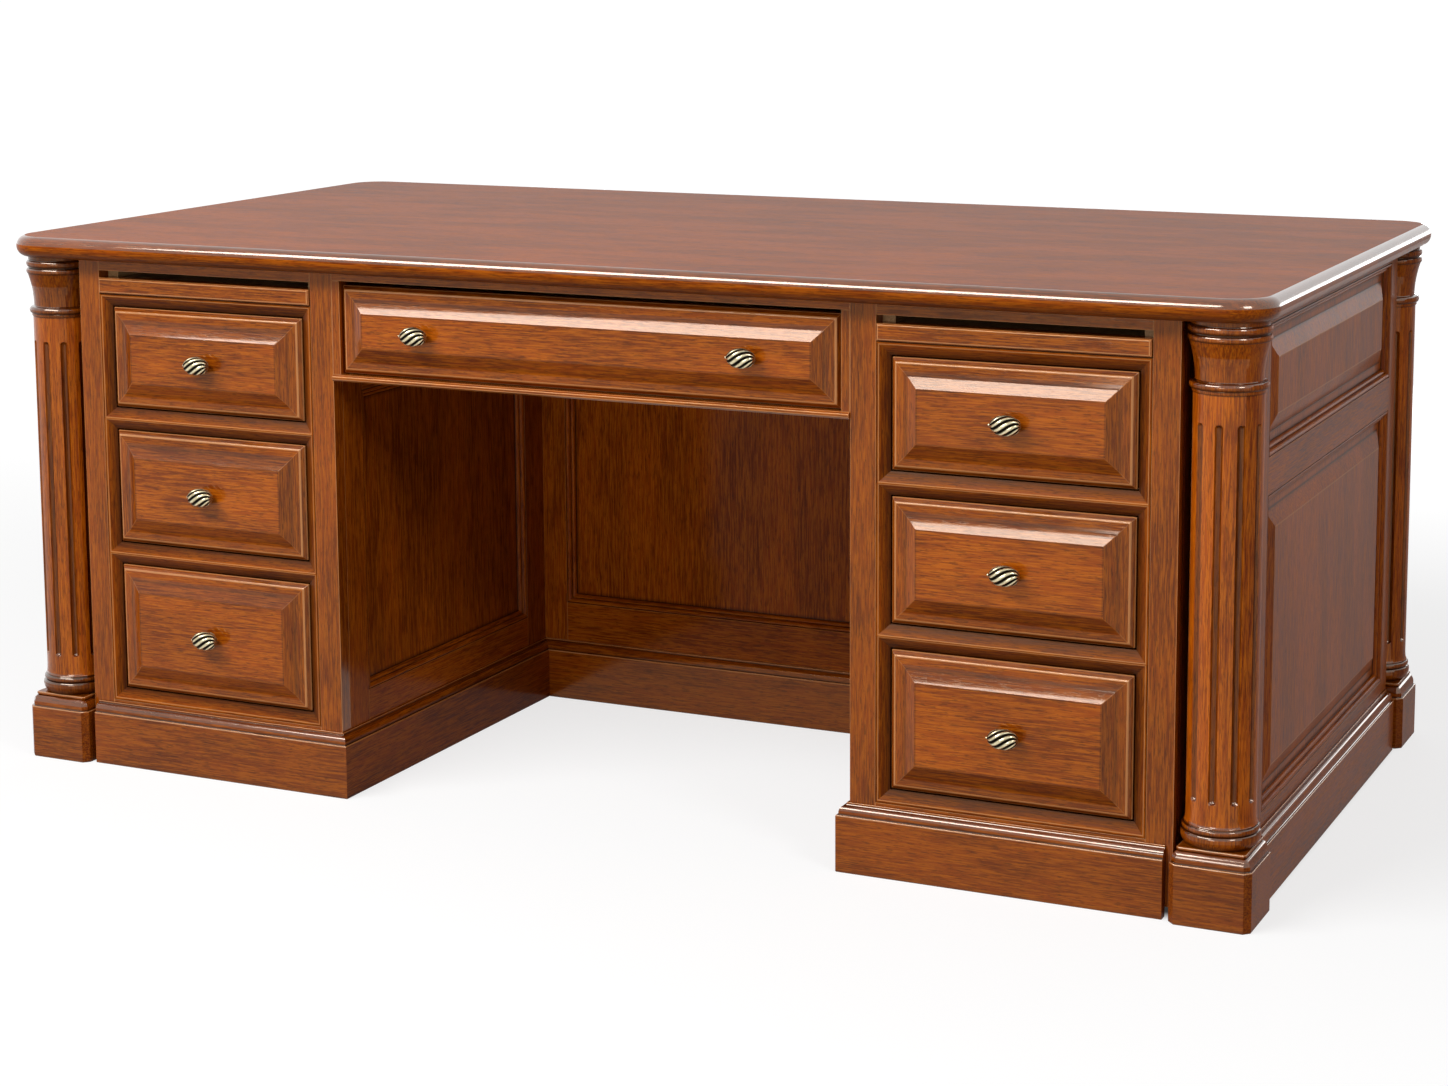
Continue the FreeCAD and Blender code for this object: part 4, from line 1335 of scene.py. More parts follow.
@dataclass
class Columns:
    """Turned corner columns with round-ended flutes.

    The steps of the turning go up from the block, and the inset of each is its radius. A shaft and
    the mouldings at its two ends are turned from different boards, and tones are in steps. The
    tones paint light and shade: shafts paler, their ends darker, and the right-hand columns paler
    than the left-hand ones.
    """

    node: str = "corner_columns"
    torus: Bead = Bead(Step(41, 0, 0.9), Step(45, 18), 5.0)
    foot_ring: Bead = Bead(Step(44.6, 18.4, 1.0), Step(44.6, 25.4), 2.2, 8)
    foot_fillet: tuple[Step, ...] = (Step(44.3, 25.8, 0.9), Step(44.3, 27.2, 0.2))
    cove_mm: float = 40.0
    cove_points: int = 5
    shaft_mm: float = 42.5
    shaft_foot_mm: float = 27.2
    shaft_head_mm: float = 551.0
    flutes: int = 10
    gouge_mm: float = 5.0
    gouge_out_mm: float = 0.7
    flute_foot_mm: float = 56.0
    flute_head_mm: float = 516.0
    flute_end_rows: int = 7
    flute_glaze: float = 0.72
    plain_rows_mm: tuple[float, ...] = (120, 210, 300, 390, 460)
    below_flutes_mm: float = 48.0
    above_flutes_mm: float = 536.0
    # Glaze values in these steps paint shade in the creases as well as glaze.
    neck: tuple[Step, ...] = (
        Step(42.5, 549), Step(42.5, 551, 0.8), Step(43.8, 551.3, 0.3), Step(44, 552.0),
        Step(44, 554.6))
    neck_ring: Bead = Bead(Step(43.9, 555.2, 0.9), Step(43.4, 564.6), 3.6)
    bell_quirk: Step = Step(41.2, 565.2, 0.95)
    bell_foot: Step = Step(40.5, 566)
    bell_head: Step = Step(48, 612)
    bell_flare: float = 1.9
    bell_shares: tuple[float, ...] = (0, 0.12, 0.25, 0.38, 0.5, 0.62, 0.72, 0.82, 0.91, 1)
    head_ring: Bead = Bead(Step(48.2, 612.4, 0.7), Step(47.6, 620), 1.8, 8)
    head_quirk: Step = Step(46.4, 620.4, 1.0)
    cap_ring: Bead = Bead(Step(46.4, 621.8, 0.9), Step(46.4, 631.4), 3.3)
    cap: tuple[Step, ...] = (Step(46.2, 632, 0.9), Step(46.5, 632.8, 0.2), Step(46.5, 637))
    # Painted light and shade: shafts paler, heads and feet darker, right-hand columns paler and
    # left-hand ones darker.
    shaft_painted_light: float = 2.1
    end_painted_shade: float = -2.4
    side_tone: float = 1.4
    ring_looks: tuple[float, float] = (0.2, 0.99)

    def profile(self) -> list[Step]:
        """Draw the turning, with rows close together where the flutes end.

        Returns:
            The turning from the foot up.
        """
        fillet = replace(self.foot_fillet[-1], glaze=0.0)
        steps = [*self.torus.steps(), *self.foot_ring.steps(), *self.foot_fillet]
        steps += quarter(fillet, Step(self.shaft_mm, self.cove_mm), Turn.LEVEL, self.cove_points)
        count = self.flute_end_rows
        ends = [self.gouge_mm * (1 - math.cos(math.pi / 2 * k / count)) for k in range(count + 1)]
        rows = [self.below_flutes_mm, *(self.flute_foot_mm + end for end in ends),
                *self.plain_rows_mm, *(self.flute_head_mm - end for end in ends[::-1]),
                self.above_flutes_mm]
        steps += [Step(self.shaft_mm, row) for row in rows]
        steps += [*self.neck, *self.neck_ring.steps(), self.bell_quirk]
        widen = self.bell_head.inset - self.bell_foot.inset
        climb = self.bell_head.rise - self.bell_foot.rise
        steps += [Step(self.bell_foot.inset + widen * t ** self.bell_flare,
                       self.bell_foot.rise + climb * t) for t in self.bell_shares]
        return [*steps, *self.head_ring.steps(), self.head_quirk, *self.cap_ring.steps(), *self.cap]

    def angles(self) -> Array:
        """Choose directions round the shaft, closest together across each flute.

        Returns:
            The angles, from the middle of the front flute's near edge.
        """
        stretches, lands = 10, 5
        half = math.sqrt(self.gouge_mm ** 2 - self.gouge_out_mm ** 2) / self.shaft_mm
        pitch = 2 * math.pi / self.flutes
        across = [-half * math.cos(math.pi * k / stretches) for k in range(stretches + 1)]
        land = [half + (pitch - 2 * half) * k / lands for k in range(1, lands)]
        return np.array([pitch * number + angle - math.pi / 2
                         for number in range(self.flutes) for angle in across + land])

    def turning(self) -> bpy.types.Object:
        """Turn one plain column, standing at the origin.

        Returns:
            The turning, with its glaze and painted shade.
        """
        name = "column_turning"
        steps, angles = self.profile(), self.angles()
        rings = np.array([[(step.inset * MM * math.cos(a), step.inset * MM * math.sin(a),
                            step.rise * MM) for a in angles] for step in steps])
        piece = Piece(name)
        board = piece.board(Z)
        piece.loft(rings, steps, [board], first=board, last=board)
        mesh = bpy.data.meshes.new(name)
        mesh.from_pydata(np.concatenate(piece.points).tolist(), [], piece.faces)
        mesh.attributes.new("glaze", "FLOAT", "POINT").data.foreach_set("value", piece.glaze)
        return link(name, mesh)

    def tree(self, turning: bpy.types.Object) -> NodeWork:
        """Make the tree that gouges the flutes and sets a column on each point.

        Args:
            turning: The plain turning, standing at the origin.

        Returns:
            The tree, ready to run.
        """
        work = NodeWork("column_flutes", {
            "Flute Pitch": 2 * math.pi / self.flutes, "Shaft Radius": self.shaft_mm * MM,
            "Gouge Radius": self.gouge_mm * MM, "Gouge Out": self.gouge_out_mm * MM,
            "Flute Foot": (self.flute_foot_mm + self.gouge_mm) * MM,
            "Flute Head": (self.flute_head_mm - self.gouge_mm) * MM,
        })
        tree, entry = work.tree, work.entry
        pitch, radius, out = entry["Flute Pitch"], entry["Gouge Radius"], entry["Gouge Out"]
        place = add_node(tree, "GeometryNodeInputPosition").outputs[0]
        x, y, z = add_node(tree, "ShaderNodeSeparateXYZ", None, {0: place}).outputs
        half = work_out(tree, pitch, [(MATH, "DIVIDE", 2.0)])
        aside = work_out(tree, y, [
            (MATH, "ARCTAN2", x), (MATH, "ADD", math.pi / 2), (MATH, "ADD", half),
            (MATH, "FLOORED_MODULO", pitch), (MATH, "SUBTRACT", half),
            (MATH, "MULTIPLY", entry["Shaft Radius"]), (MATH, "POWER", 2.0),
        ])
        below = work_out(tree, entry["Flute Foot"], [(MATH, "SUBTRACT", z)])
        beyond = work_out(tree, z, [
            (MATH, "SUBTRACT", entry["Flute Head"]), (MATH, "MAXIMUM", below),
            (MATH, "MAXIMUM", 0.0), (MATH, "POWER", 2.0),
        ])
        depth = work_out(tree, radius, [
            (MATH, "POWER", 2.0), (MATH, "SUBTRACT", aside), (MATH, "SUBTRACT", beyond),
            (MATH, "MAXIMUM", 0.0), (MATH, "SQRT", None), (MATH, "SUBTRACT", out),
            (MATH, "MAXIMUM", 0.0),
        ])
        deepest = work_out(tree, radius, [(MATH, "SUBTRACT", out)])
        # Flutes are darkened with their depth: painted shade.
        dark = work_out(tree, depth, [
            (MATH, "DIVIDE", deepest), (MATH, "SQRT", None), (MATH, "MULTIPLY", self.flute_glaze)])
        inward = work_out(tree, depth, [(MATH, "MULTIPLY", -1.0)])
        level = add_node(tree, "ShaderNodeCombineXYZ", None, {0: x, 1: y}).outputs[0]
        move = work_out(tree, level, [
            (VECTOR_MATH, "NORMALIZE", None), (VECTOR_MATH, "MULTIPLY", inward)])
        plain = add_node(tree, "GeometryNodeObjectInfo", None, {"Object": turning})
        turned = add_node(tree, "GeometryNodeInputNamedAttribute", NUMBERS, {"Name": "glaze"})
        glaze = work_out(tree, turned.outputs[0], [(MATH, "MAXIMUM", dark)])
        held = add_node(tree, "GeometryNodeStoreNamedAttribute", NUMBERS, {
            "Geometry": plain.outputs["Geometry"], "Name": "glaze", "Value": glaze,
        })
        gouged = add_node(tree, "GeometryNodeSetPosition", None, {
            "Geometry": held.outputs[0], "Offset": move,
        })
        work.close(gouged.outputs[0])
        return work

    def build(self, coats: Coats) -> None:
        """Turn one column, flute it, and stand one in every corner.

        Args:
            coats: Plain for the shafts, crown and soffit for the rings, and flank for the sides.
        """
        name = "corner_columns_fluted"
        corners = [(*((low + high) / 2)[:2], low[2]) for low, high in boxes(self.node)]
        turning = self.turning()
        made = self.tree(turning).run(name, corners, coats.plain)
        bpy.data.objects.remove(turning)
        piece = Piece(name)
        shafts, ends = ([piece.board(Z, tone + self.side_tone * np.sign(x)) for x, _, _ in corners]
                        for tone in (self.shaft_painted_light, self.end_painted_shade))
        points = np.array([v.co for v in made.vertices])
        faces = [tuple(face.vertices) for face in made.polygons]
        plan, base = np.array(corners)[:, :2], corners[0][2]
        owners = []
        for face in faces:
            spot = points[list(face)].mean(axis=0)
            column = int(np.argmin(np.sum((plan - spot[:2]) ** 2, axis=1)))
            on_shaft = self.shaft_foot_mm < (spot[2] - base) / MM < self.shaft_head_mm
            owners.append((shafts if on_shaft else ends)[column])
        glaze = np.empty(len(points))
        made.attributes["glaze"].data.foreach_get("value", glaze)
        low, high = self.ring_looks
        rings = [low < abs(face.normal.z) < high for face in made.polygons]
        piece.add(points, faces, owners, glaze, moulded=rings)
        piece.finish(coats, "desk", self.node)


@dataclass
class SwirlKnobs:
    """Oval knobs cast with reeds that twist from end to end, pointed at one end by a bead."""

    length_mm: float = 40.0
    height_mm: float = 26.5
    stand_mm: float = 15.5
    reeds: int = 8
    twist: float = 1.18
    depth_share: float = 0.17
    groove_power: float = 1.4
    foot_mm: float = 18.0
    stem_mm: float = 11.0
    flange_share: float = 0.2
    rim_share: float = 0.86
    hub_share: float = 0.8
    bead_mm: float = 3.2
    point: float = 1.35
    blunt: float = 0.72
    groove_patina: tuple[float, float] = (0.2, 0.62)
    shank_patina: float = 0.55
    rows: int = 41
    columns: int = 129
    sides: int = 40
    bead_sides: int = 20
    bead_rows: int = 12
    weld_mm: float = 0.02
    sharp_degrees: float = 50.0

    def head(self, work: NodeWork) -> Socket:
        """Shape a grid into the reeded head.

        Args:
            work: Tree of the knob.

        Returns:
            The head's geometry, with its patina.
        """
        tree, entry = work.tree, work.entry
        grid = add_node(tree, "GeometryNodeMeshGrid", None, {
            "Vertices X": self.rows, "Vertices Y": self.columns,
        })
        place = add_node(tree, "GeometryNodeInputPosition").outputs[0]
        u, v, _ = add_node(tree, "ShaderNodeSeparateXYZ", None, {0: place}).outputs
        along = work_out(tree, u, [(MATH, "MULTIPLY", math.pi), (MATH, "SINE", None)])
        blunt = add_node(tree, MAP_RANGE, None, {
            "Value": along, "From Min": -1.0, "To Min": entry["Point"], "To Max": entry["Blunt"],
        }).outputs[0]
        girth = work_out(tree, u, [
            (MATH, "MULTIPLY", math.pi), (MATH, "COSINE", None), (MATH, "MAXIMUM", 0.0),
            (MATH, "POWER", blunt),
        ])
        angle = work_out(tree, v, [(MATH, "MULTIPLY", 2 * math.pi)])
        lag = work_out(tree, along, [(MATH, "MULTIPLY", entry["Twist"])])
        groove = work_out(tree, angle, [
            (MATH, "SUBTRACT", lag), (MATH, "MULTIPLY", entry["Reeds"]), (MATH, "COSINE", None),
            (MATH, "MULTIPLY", -0.5), (MATH, "ADD", 0.5),
        ])
        hollow = work_out(tree, groove, [
            (MATH, "POWER", self.groove_power), (MATH, "MULTIPLY", entry["Reed Depth"])])
        radius = work_out(tree, 1.0, [
            (MATH, "SUBTRACT", hollow), (MATH, "MULTIPLY", girth),
            (MATH, "MULTIPLY", entry["Height"]), (MATH, "MULTIPLY", 0.5),
        ])
        x = work_out(tree, along, [(MATH, "MULTIPLY", entry["Length"]), (MATH, "MULTIPLY", 0.5)])
        y = work_out(tree, angle, [
            (MATH, "COSINE", None), (MATH, "MULTIPLY", radius), (MATH, "ADD", entry["Stand"]),
            (MATH, "MULTIPLY", -1.0),
        ])
        z = work_out(tree, angle, [(MATH, "SINE", None), (MATH, "MULTIPLY", radius)])
        spot = add_node(tree, "ShaderNodeCombineXYZ", None, {0: x, 1: y, 2: z}).outputs[0]
        low, high = self.groove_patina
        patina = add_node(tree, MAP_RANGE, SMOOTH, {
            "Value": groove, "From Min": low, "From Max": high,
        }).outputs[0]
        held = add_node(tree, "GeometryNodeStoreNamedAttribute", NUMBERS, {
            "Geometry": grid.outputs[0], "Name": "patina", "Value": patina,
        })
        shaped = add_node(tree, "GeometryNodeSetPosition", None, {
            "Geometry": held.outputs[0], "Position": spot,
        })
        return add_node(tree, "GeometryNodeMergeByDistance", None, {
            "Geometry": shaped.outputs[0], "Distance": self.weld_mm * MM,
        }).outputs[0]

    def shank(self, work: NodeWork) -> Socket:
        """Make the flange on the drawer front and the stem that carries the head.

        Args:
            work: Tree of the knob.

        Returns:
            The shank's geometry, with its patina.
        """
        tree, entry = work.tree, work.entry
        foot = work_out(tree, entry["Foot Width"], [(MATH, "DIVIDE", 2.0)])
        stem = work_out(tree, entry["Stem Width"], [(MATH, "DIVIDE", 2.0)])
        thick = work_out(tree, entry["Stand"], [(MATH, "MULTIPLY", self.flange_share)])
        rim, hub = (work_out(tree, foot, [(MATH, "MULTIPLY", share)])
                    for share in (self.rim_share, self.hub_share))
        both = add_node(tree, "GeometryNodeJoinGeometry")
        for segments, top, bottom, depth in ((1, rim, foot, thick), (4, stem, hub, entry["Stand"])):
            cone = add_node(tree, "GeometryNodeMeshCone", None, {
                "Vertices": self.sides, "Side Segments": segments, "Radius Top": top,
                "Radius Bottom": bottom, "Depth": depth,
            })
            tree.links.new(cone.outputs[0], both.inputs[0])
        turned = add_node(tree, "GeometryNodeTransform", None, {
            "Geometry": both.outputs[0], "Rotation": (math.pi / 2, 0.0, 0.0),
        })
        return add_node(tree, "GeometryNodeStoreNamedAttribute", NUMBERS, {
            "Geometry": turned.outputs[0], "Name": "patina", "Value": self.shank_patina,
        }).outputs[0]

    def bead(self, work: NodeWork) -> Socket:
        """Make the bead on the head's pointed end.

        Args:
            work: Tree of the knob.

        Returns:
            The bead's geometry.
        """
        tree, entry = work.tree, work.entry
        ball = add_node(tree, "GeometryNodeMeshUVSphere", None, {
            "Segments": self.bead_sides, "Rings": self.bead_rows,
            "Radius": work_out(tree, entry["Bead"], [(MATH, "DIVIDE", 2.0)]),
        })
        end = add_node(tree, "ShaderNodeCombineXYZ", None, {
            0: work_out(tree, entry["Length"], [(MATH, "MULTIPLY", -0.5)]),
            1: work_out(tree, entry["Stand"], [(MATH, "MULTIPLY", -1.0)]),
        })
        return add_node(tree, "GeometryNodeTransform", None, {
            "Geometry": ball.outputs[0], "Translation": end.outputs[0],
        }).outputs[0]

    def tree(self) -> NodeWork:
        """Make the tree that shapes one knob and sets it on each point.

        Returns:
            The tree, ready to run.
        """
        work = NodeWork("swirl_knob", {
            "Length": self.length_mm * MM, "Height": self.height_mm * MM,
            "Stand": self.stand_mm * MM, "Reeds": float(self.reeds), "Twist": self.twist,
            "Reed Depth": self.depth_share, "Foot Width": self.foot_mm * MM,
            "Stem Width": self.stem_mm * MM, "Bead": self.bead_mm * MM, "Point": self.point,
            "Blunt": self.blunt,
        })
        whole = add_node(work.tree, "GeometryNodeJoinGeometry")
        for part in (self.head(work), self.shank(work), self.bead(work)):
            work.tree.links.new(part, whole.inputs[0])
        smooth = add_node(work.tree, "GeometryNodeSetShadeSmooth", None, {
            "Geometry": whole.outputs[0],
        })
        work.close(smooth.outputs[0])
        return work

    def build(self, finish: Material) -> None:
        """Set the knobs of every drawer on its front.

        Args:
            finish: Material of the knobs.
        """
        work = self.tree()
        for node, body in frame_nodes("_knob"):
            spots = []
            for low, high in boxes(node):
                spots.append(((low[0] + high[0]) / 2, high[1], (low[2] + high[2]) / 2))
            name = f"{node}_swirl"
            mesh = work.run(name, spots, finish)
            mesh.set_sharp_from_angle(angle=math.radians(self.sharp_degrees))
            show(name, mesh, body, node)


@dataclass
class DrawerFronts:
    """Drawer fronts: a bevelled lip, a mitred border and a raised field.

    Tones are those of the boards along the bottom, far, top and near sides of the border; the
    bottom and far (right-hand) boards are darker as painted shade.
    """

    thick_mm: float = 20.0
    lip_mm: float = 6.0
    border_mm: float = 21.0
    bevel_mm: float = 15.0
    slope_mm: float = 1.4
    raise_mm: float = 8.6
    bevel_rows: int = 10
    bevel_glaze: float = 0.2
    hollow: float = 0.15
    # Painted shade: the bottom and far (right-hand) border boards are darker than the top and near
    # ones.
    border_shade_tones: tuple[float, ...] = (-1.4, -2.2, -0.6, -0.6)
    field_tone: float = 1.0

    def steps(self) -> tuple[list[Step], list[Step]]:
        """Draw the border from its hidden edge inwards, and the line round the field.

        Returns:
            The border's profile with its coved bevel, and the field's edge.
        """
        foot, end = self.border_mm, self.border_mm + self.bevel_mm
        lip, slope, top = self.lip_mm, self.slope_mm, self.raise_mm
        # Glaze values here paint shade in the crease at the bevel's foot and round the field's
        # edge, as well as glaze.
        border = [Step(0, -self.thick_mm), Step(0, -lip, 0.1, 1.3), Step(lip, 0.0, 0.0, 1.8),
                  Step(lip + 3.0, 0.1 * slope), Step(foot - 5.0, 0.6 * slope, 0.05),
                  Step(foot, slope, 0.45)]
        for row, t in enumerate(np.linspace(1 / self.bevel_rows, 1.0, self.bevel_rows)):
            rise = slope + (top - slope) * ((1 - self.hollow) * t + self.hollow * t * t)
            border.append(Step(foot + self.bevel_mm * t, rise, 0.0 if row else self.bevel_glaze))
        return soften(border), [Step(end, top), Step(end + 0.6, top, 0.6), Step(end + 2.6, top)]

    def build(self, coats: Coats) -> None:
        """Make all seven fronts.

        Args:
            coats: Plain for the flat faces, crown and soffit for the lips and bevels.
        """
        border, field = self.steps()
        face = Facing.FRONT
        for node, body in frame_nodes("_drawer_front"):
            span = face.spans(*boxes(node)[0])
            plane = span[5] - self.raise_mm * MM
            piece = Piece(f"{node}_panelled")
            sides = [piece.board((X, Z)[k % 2], tone) for k, tone in enumerate(self.border_shade_tones)]
            middle = piece.board(X, self.field_tone)
            piece.framed(face, span, plane, border, sides, first=middle)
            piece.framed(face, span, plane, field, [middle], last=middle)
            piece.finish(coats, body, node)


@dataclass(frozen=True)
class Lamp:
    """A soft rectangular lamp: its place, what it points at, its size in metres and its watts."""

    name: str
    place: tuple[float, float, float]
    target: tuple[float, float, float]
    size: tuple[float, float]
    power: float

    def hang(self) -> None:
        """Put the lamp in the scene."""
        data = bpy.data.lights.new(self.name, "AREA")
        data.shape = "RECTANGLE"
        data.size, data.size_y = self.size
        data.energy = self.power
        lamp = link(self.name, data)
        lamp.location = self.place
        ray = Vector(self.target) - Vector(self.place)
        lamp.rotation_euler = ray.to_track_quat("-Z", "Y").to_euler()


@dataclass
class Studio:
    """Pale floor, soft lights and the camera of the photograph, in metres and radians.

    The floor glows near white where it is looked at and a little less near the desk; beneath the
    two pedestals, whose plan the foot sizes give, it hardly glows at all, which paints a shadow
    there.
    """

    camera_place: tuple[float, float, float] = (1.7242, -3.6515, 1.1914)
    yaw: float = 0.4423
    pitch: float = 0.1429
    roll: float = -0.0058
    lens_mm: float = 70.33
    sensor_mm: float = 36.0
    shift: float = -0.145
    sight: float = 100.0
    floor_size: float = 40.0
    floor_squares: int = 8
    floor_grey: str = "#959595"
    glow_reach: tuple[float, float] = (1.0, 5.0)
    glow: tuple[float, float] = (0.73, 1.0)
    foot_centre: float = 0.635
    foot_half: float = 0.265
    foot_deep: float = 0.46
    painted_shadow_edge: float = 0.03
    painted_shadow_glow: float = 0.05
    white: str = "#ffffff"
    sky_light: float = 0.16
    lamps: tuple[Lamp, ...] = (
        Lamp("front_left_softbox", (-1.3, -2.7, 3.0), (-0.1, -0.45, 0.5), (2.8, 1.0), 120.0),
        Lamp("front_right_softbox", (2.93, -2.0, 2.4), (0.7, -0.2, 0.45), (0.9, 0.9), 30.0),
        Lamp("low_front_fill", (0.2, -4.6, 1.0), (0.0, 0.0, 0.4), (1.6, 0.8), 32.0),
        Lamp("back_low_fill", (-0.8, 3.4, 0.4), (0.0, 0.4, 0.4), (2.6, 0.5), 60.0),
        Lamp("back_right_panel", (1.9, 2.9, 0.8), (0.88, 0.0, 0.5), (1.6, 0.5), 6.0),
    )

    @staticmethod
    def seen(tree: Tree, hidden: float, shown: Any) -> Socket:
        """Choose a strength by whether the camera, a gloss or a glass looks straight at it.

        Args:
            tree: Tree of the floor or the world.
            hidden: Strength for all other light.
            shown: Strength where it is looked at.

        Returns:
            The strength.
        """
        path = add_node(tree, "ShaderNodeLightPath").outputs
        looks = work_out(tree, path["Is Camera Ray"], [
            (MATH, "MAXIMUM", path["Is Glossy Ray"]),
            (MATH, "MAXIMUM", path["Is Transmission Ray"]),
        ])
        return add_node(tree, MAP_RANGE, None, {
            "Value": looks, "To Min": hidden, "To Max": shown,
        }).outputs[0]

    def paper(self) -> Material:
        """Make the floor's matt white paper, which shows as near white, keeps the shadow, and has a
        painted shadow under the pedestals.

        Returns:
            The finished material.
        """
        material = bare_material("matt_white_paper")
        tree = material.node_tree
        place = add_node(tree, "ShaderNodeTexCoord").outputs["Object"]
        away = add_node(tree, VECTOR_MATH, {"operation": "LENGTH"}, {0: place}).outputs["Value"]
        open_floor = add_node(tree, MAP_RANGE, SMOOTH, {
            "Value": away, "From Min": self.glow_reach[0], "From Max": self.glow_reach[1],
            "To Min": self.glow[0], "To Max": self.glow[1],
        }).outputs[0]
        across, deep, _ = add_node(tree, "ShaderNodeSeparateXYZ", None, {0: place}).outputs
        behind = work_out(tree, deep, [
            (MATH, "ABSOLUTE", None), (MATH, "SUBTRACT", self.foot_deep)])
        outside = work_out(tree, across, [
            (MATH, "ABSOLUTE", None), (MATH, "SUBTRACT", self.foot_centre),
            (MATH, "ABSOLUTE", None), (MATH, "SUBTRACT", self.foot_half),
            (MATH, "MAXIMUM", behind),
        ])
        # Painted shadow: the glow fades out beneath the pedestals.
        clear = add_node(tree, MAP_RANGE, SMOOTH, {
            "Value": outside, "From Min": -self.painted_shadow_edge, "From Max": 0.0,
            "To Min": self.painted_shadow_glow,
        }).outputs[0]
        shown = work_out(tree, open_floor, [(MATH, "MULTIPLY", clear)])
        diffuse = add_node(tree, "ShaderNodeBsdfDiffuse", None, {"Color": linear(self.floor_grey)})
        glow = add_node(tree, "ShaderNodeEmission", None, {
            "Color": linear(self.white), "Strength": self.seen(tree, 0.0, shown),
        })
        both = add_node(tree, "ShaderNodeAddShader", None, {
            0: diffuse.outputs[0], 1: glow.outputs[0],
        })
        add_node(tree, "ShaderNodeOutputMaterial", None, {"Surface": both.outputs[0]})
        return material

    def floor(self) -> None:
        """Lay the floor."""
        mesh = bpy.data.meshes.new("studio_floor")
        work = bmesh.new()
        bmesh.ops.create_grid(work, x_segments=self.floor_squares, y_segments=self.floor_squares,
                              size=self.floor_size)
        work.to_mesh(mesh)
        work.free()
        mesh.materials.append(self.paper())
        link("studio_floor", mesh)

    def world(self) -> None:
        """Give even pale light from all round and a white background."""
        world = bpy.data.worlds.new("studio")
        world.use_nodes = True
        tree = world.node_tree
        tree.nodes.clear()
        sky = add_node(tree, "ShaderNodeBackground", None, {
            "Color": linear(self.white), "Strength": self.seen(tree, self.sky_light, 1.0),
        })
        add_node(tree, "ShaderNodeOutputWorld", None, {"Surface": sky.outputs[0]})
        bpy.context.scene.world = world

    def camera(self) -> None:
        """Set the camera where the photograph was taken from."""
        level = math.cos(self.pitch)
        ahead = Vector((-math.sin(self.yaw) * level, math.cos(self.yaw) * level,
                        -math.sin(self.pitch)))
        right = Vector((math.cos(self.yaw), math.sin(self.yaw), 0.0))
        up = right.cross(ahead)
        across = right * math.cos(self.roll) + up * math.sin(self.roll)
        above = up * math.cos(self.roll) - right * math.sin(self.roll)
        data = bpy.data.cameras.new("photograph")
        data.lens, data.sensor_width = self.lens_mm, self.sensor_mm
        data.shift_y, data.clip_end = self.shift, self.sight
        camera = link("photograph", data)
        turn = Matrix((across, above, -ahead)).transposed().to_4x4()
        camera.matrix_world = Matrix.Translation(self.camera_place) @ turn
        bpy.context.scene.camera = camera

    def build(self) -> None:
        """Set up the studio."""
        self.floor()
        self.world()
        for lamp in self.lamps:
            lamp.hang()
        self.camera()
        bpy.context.scene.view_settings.view_transform = "Standard"


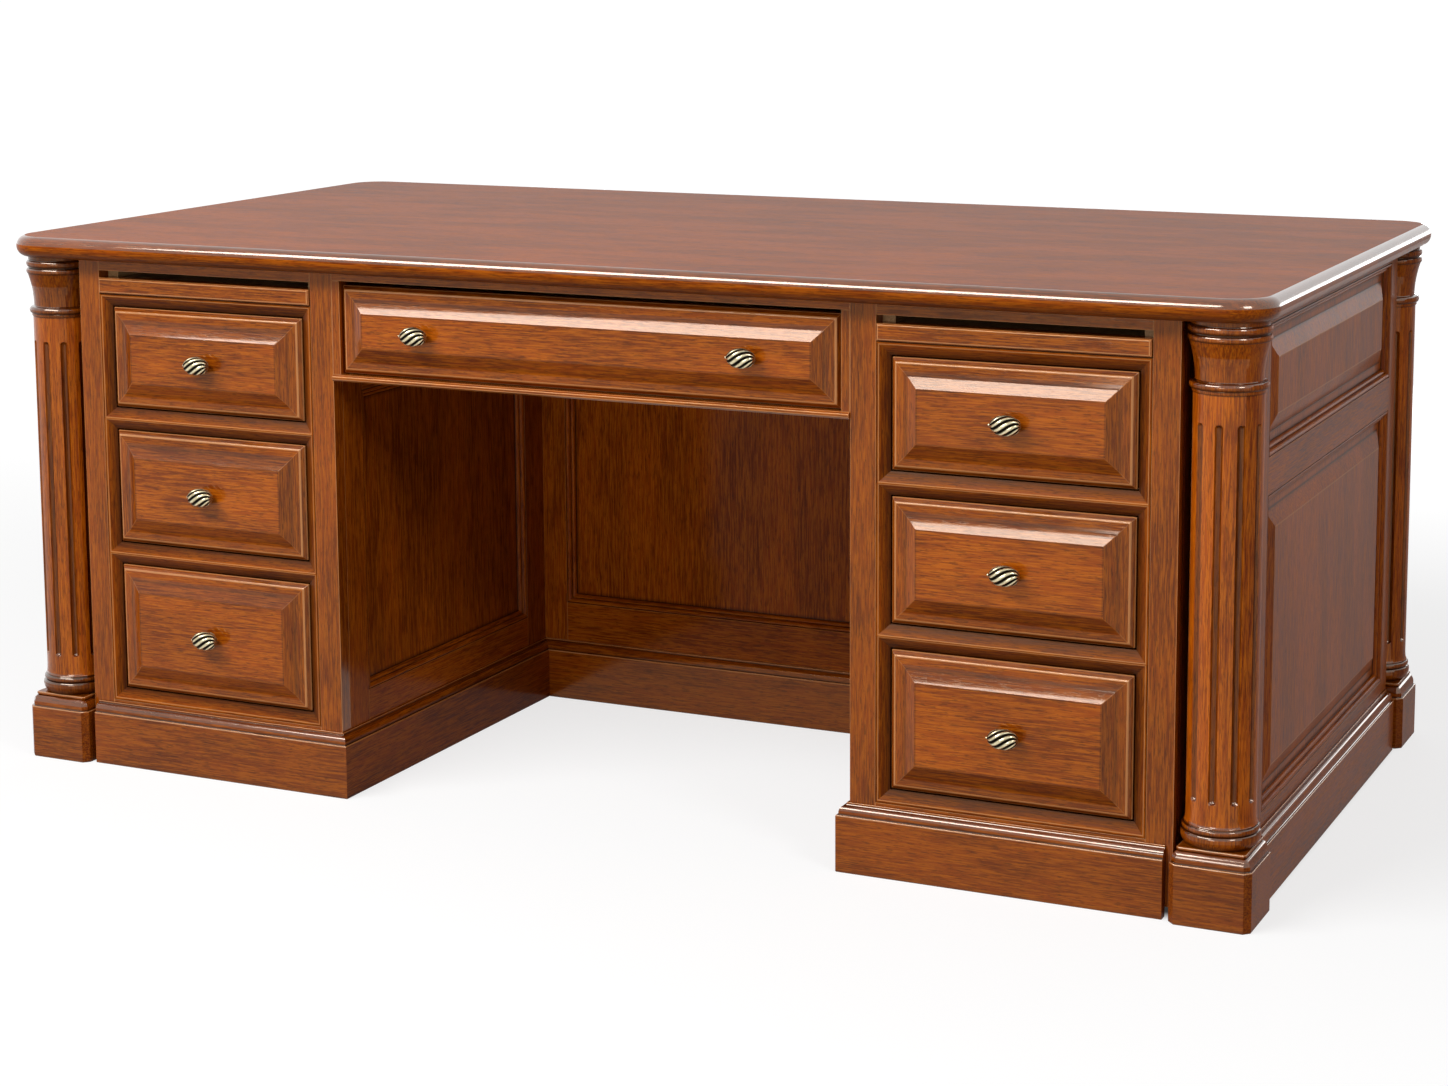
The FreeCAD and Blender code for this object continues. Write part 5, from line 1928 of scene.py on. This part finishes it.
@dataclass
class Desk:
    """The whole desk, in the order that it is built."""

    fronts: tuple[str, ...] = ("left_front_frame", "right_front_frame")
    frames: tuple[str, ...] = (
        "left_side_frame", "right_side_frame", "left_back_frame", "right_back_frame",
        "left_knee_frame", "right_knee_frame", "modesty_frame", "corner_posts")
    rails: str = "centre_front_rails"
    mouldings: tuple[str, ...] = ("side_panel_mouldings", "back_panel_mouldings")
    knee_mouldings: str = "kneehole_mouldings"
    raised_panels: tuple[str, ...] = ("left_side_panels", "right_side_panels", "back_panels")
    flat_panels: tuple[str, ...] = ("knee_panels", "modesty_panel")
    hidden: tuple[str, ...] = (
        "left_inner_case", "right_inner_case", "drawer_runners", "centre_drawer_runners",
        "top_cleats")
    front_tone: float = -1.3
    slide_ease_mm: float = 0.9
    box_ease_mm: float = 0.8

    def build(self) -> None:
        """Build and dress every sub-assembly."""
        lacquered, rubbed, table, polished, burnished, glazed, birch = (
            wood.material(Grain.BOARDS) for wood in (
                SHOW_WOOD, RUBBED_WOOD, TABLE_WOOD, POLISHED_WOOD, BURNISHED_WOOD, GLAZED_WOOD,
                INNER_WOOD))
        moulded = Coats(lacquered, crown=burnished, flank=rubbed)
        Top().build(Coats(glazed, crown=burnished, flank=table))
        Columns().build(replace(moulded, soffit=glazed))
        Blocks().build(moulded)
        Plinths().build(moulded)
        for node in self.fronts:
            Joinery(node, tone=self.front_tone).build(Coats(lacquered))
        for node in self.frames:
            Joinery(node).build(Coats(rubbed))
        Joinery(self.rails, tone=self.front_tone).build(Coats(lacquered))
        for node in self.mouldings:
            Stickings(node).build(Coats(rubbed))
        Stickings(self.knee_mouldings, inward=True).build(Coats(rubbed))
        for node in self.raised_panels:
            Panels(node).build(Coats(rubbed))
        for node in self.flat_panels:
            Panels(node, inward=True, raised=False).build(Coats(rubbed))
        for side in Side:
            DrawerSurround(side).build(Coats(glazed))
            body = side.named("writing_slide")
            Joinery(side.named("slide_front"), body, self.slide_ease_mm).build(Coats(lacquered))
            Joinery(side.named("slide_board"), body, slot=Slot.INNER_WOOD).build(Coats(birch))
        DrawerFronts().build(Coats(lacquered, crown=polished, soffit=glazed))
        for node, body in frame_nodes("_drawer_box"):
            Joinery(node, body, self.box_ease_mm, Slot.INNER_WOOD, 0.0).build(Coats(birch))
        SwirlKnobs().build(KNOB_BRASS.material())
        self.dress()

    def dress(self) -> None:
        """Give the boards that stay hidden inside their wood, in place."""
        birch = INNER_WOOD.material(Grain.ALONG_Y)
        for node in self.hidden:
            mesh = frame["nodes"][node].data
            mesh.materials.clear()
            mesh.materials.append(birch)
            log.info("%s: dressed in place", node)


def main() -> None:
    """Build the desk and its studio."""
    logging.basicConfig(level=logging.INFO, format="%(name)s %(message)s")
    Desk().build()
    Studio().build()


if __name__ == "__main__":
    main()
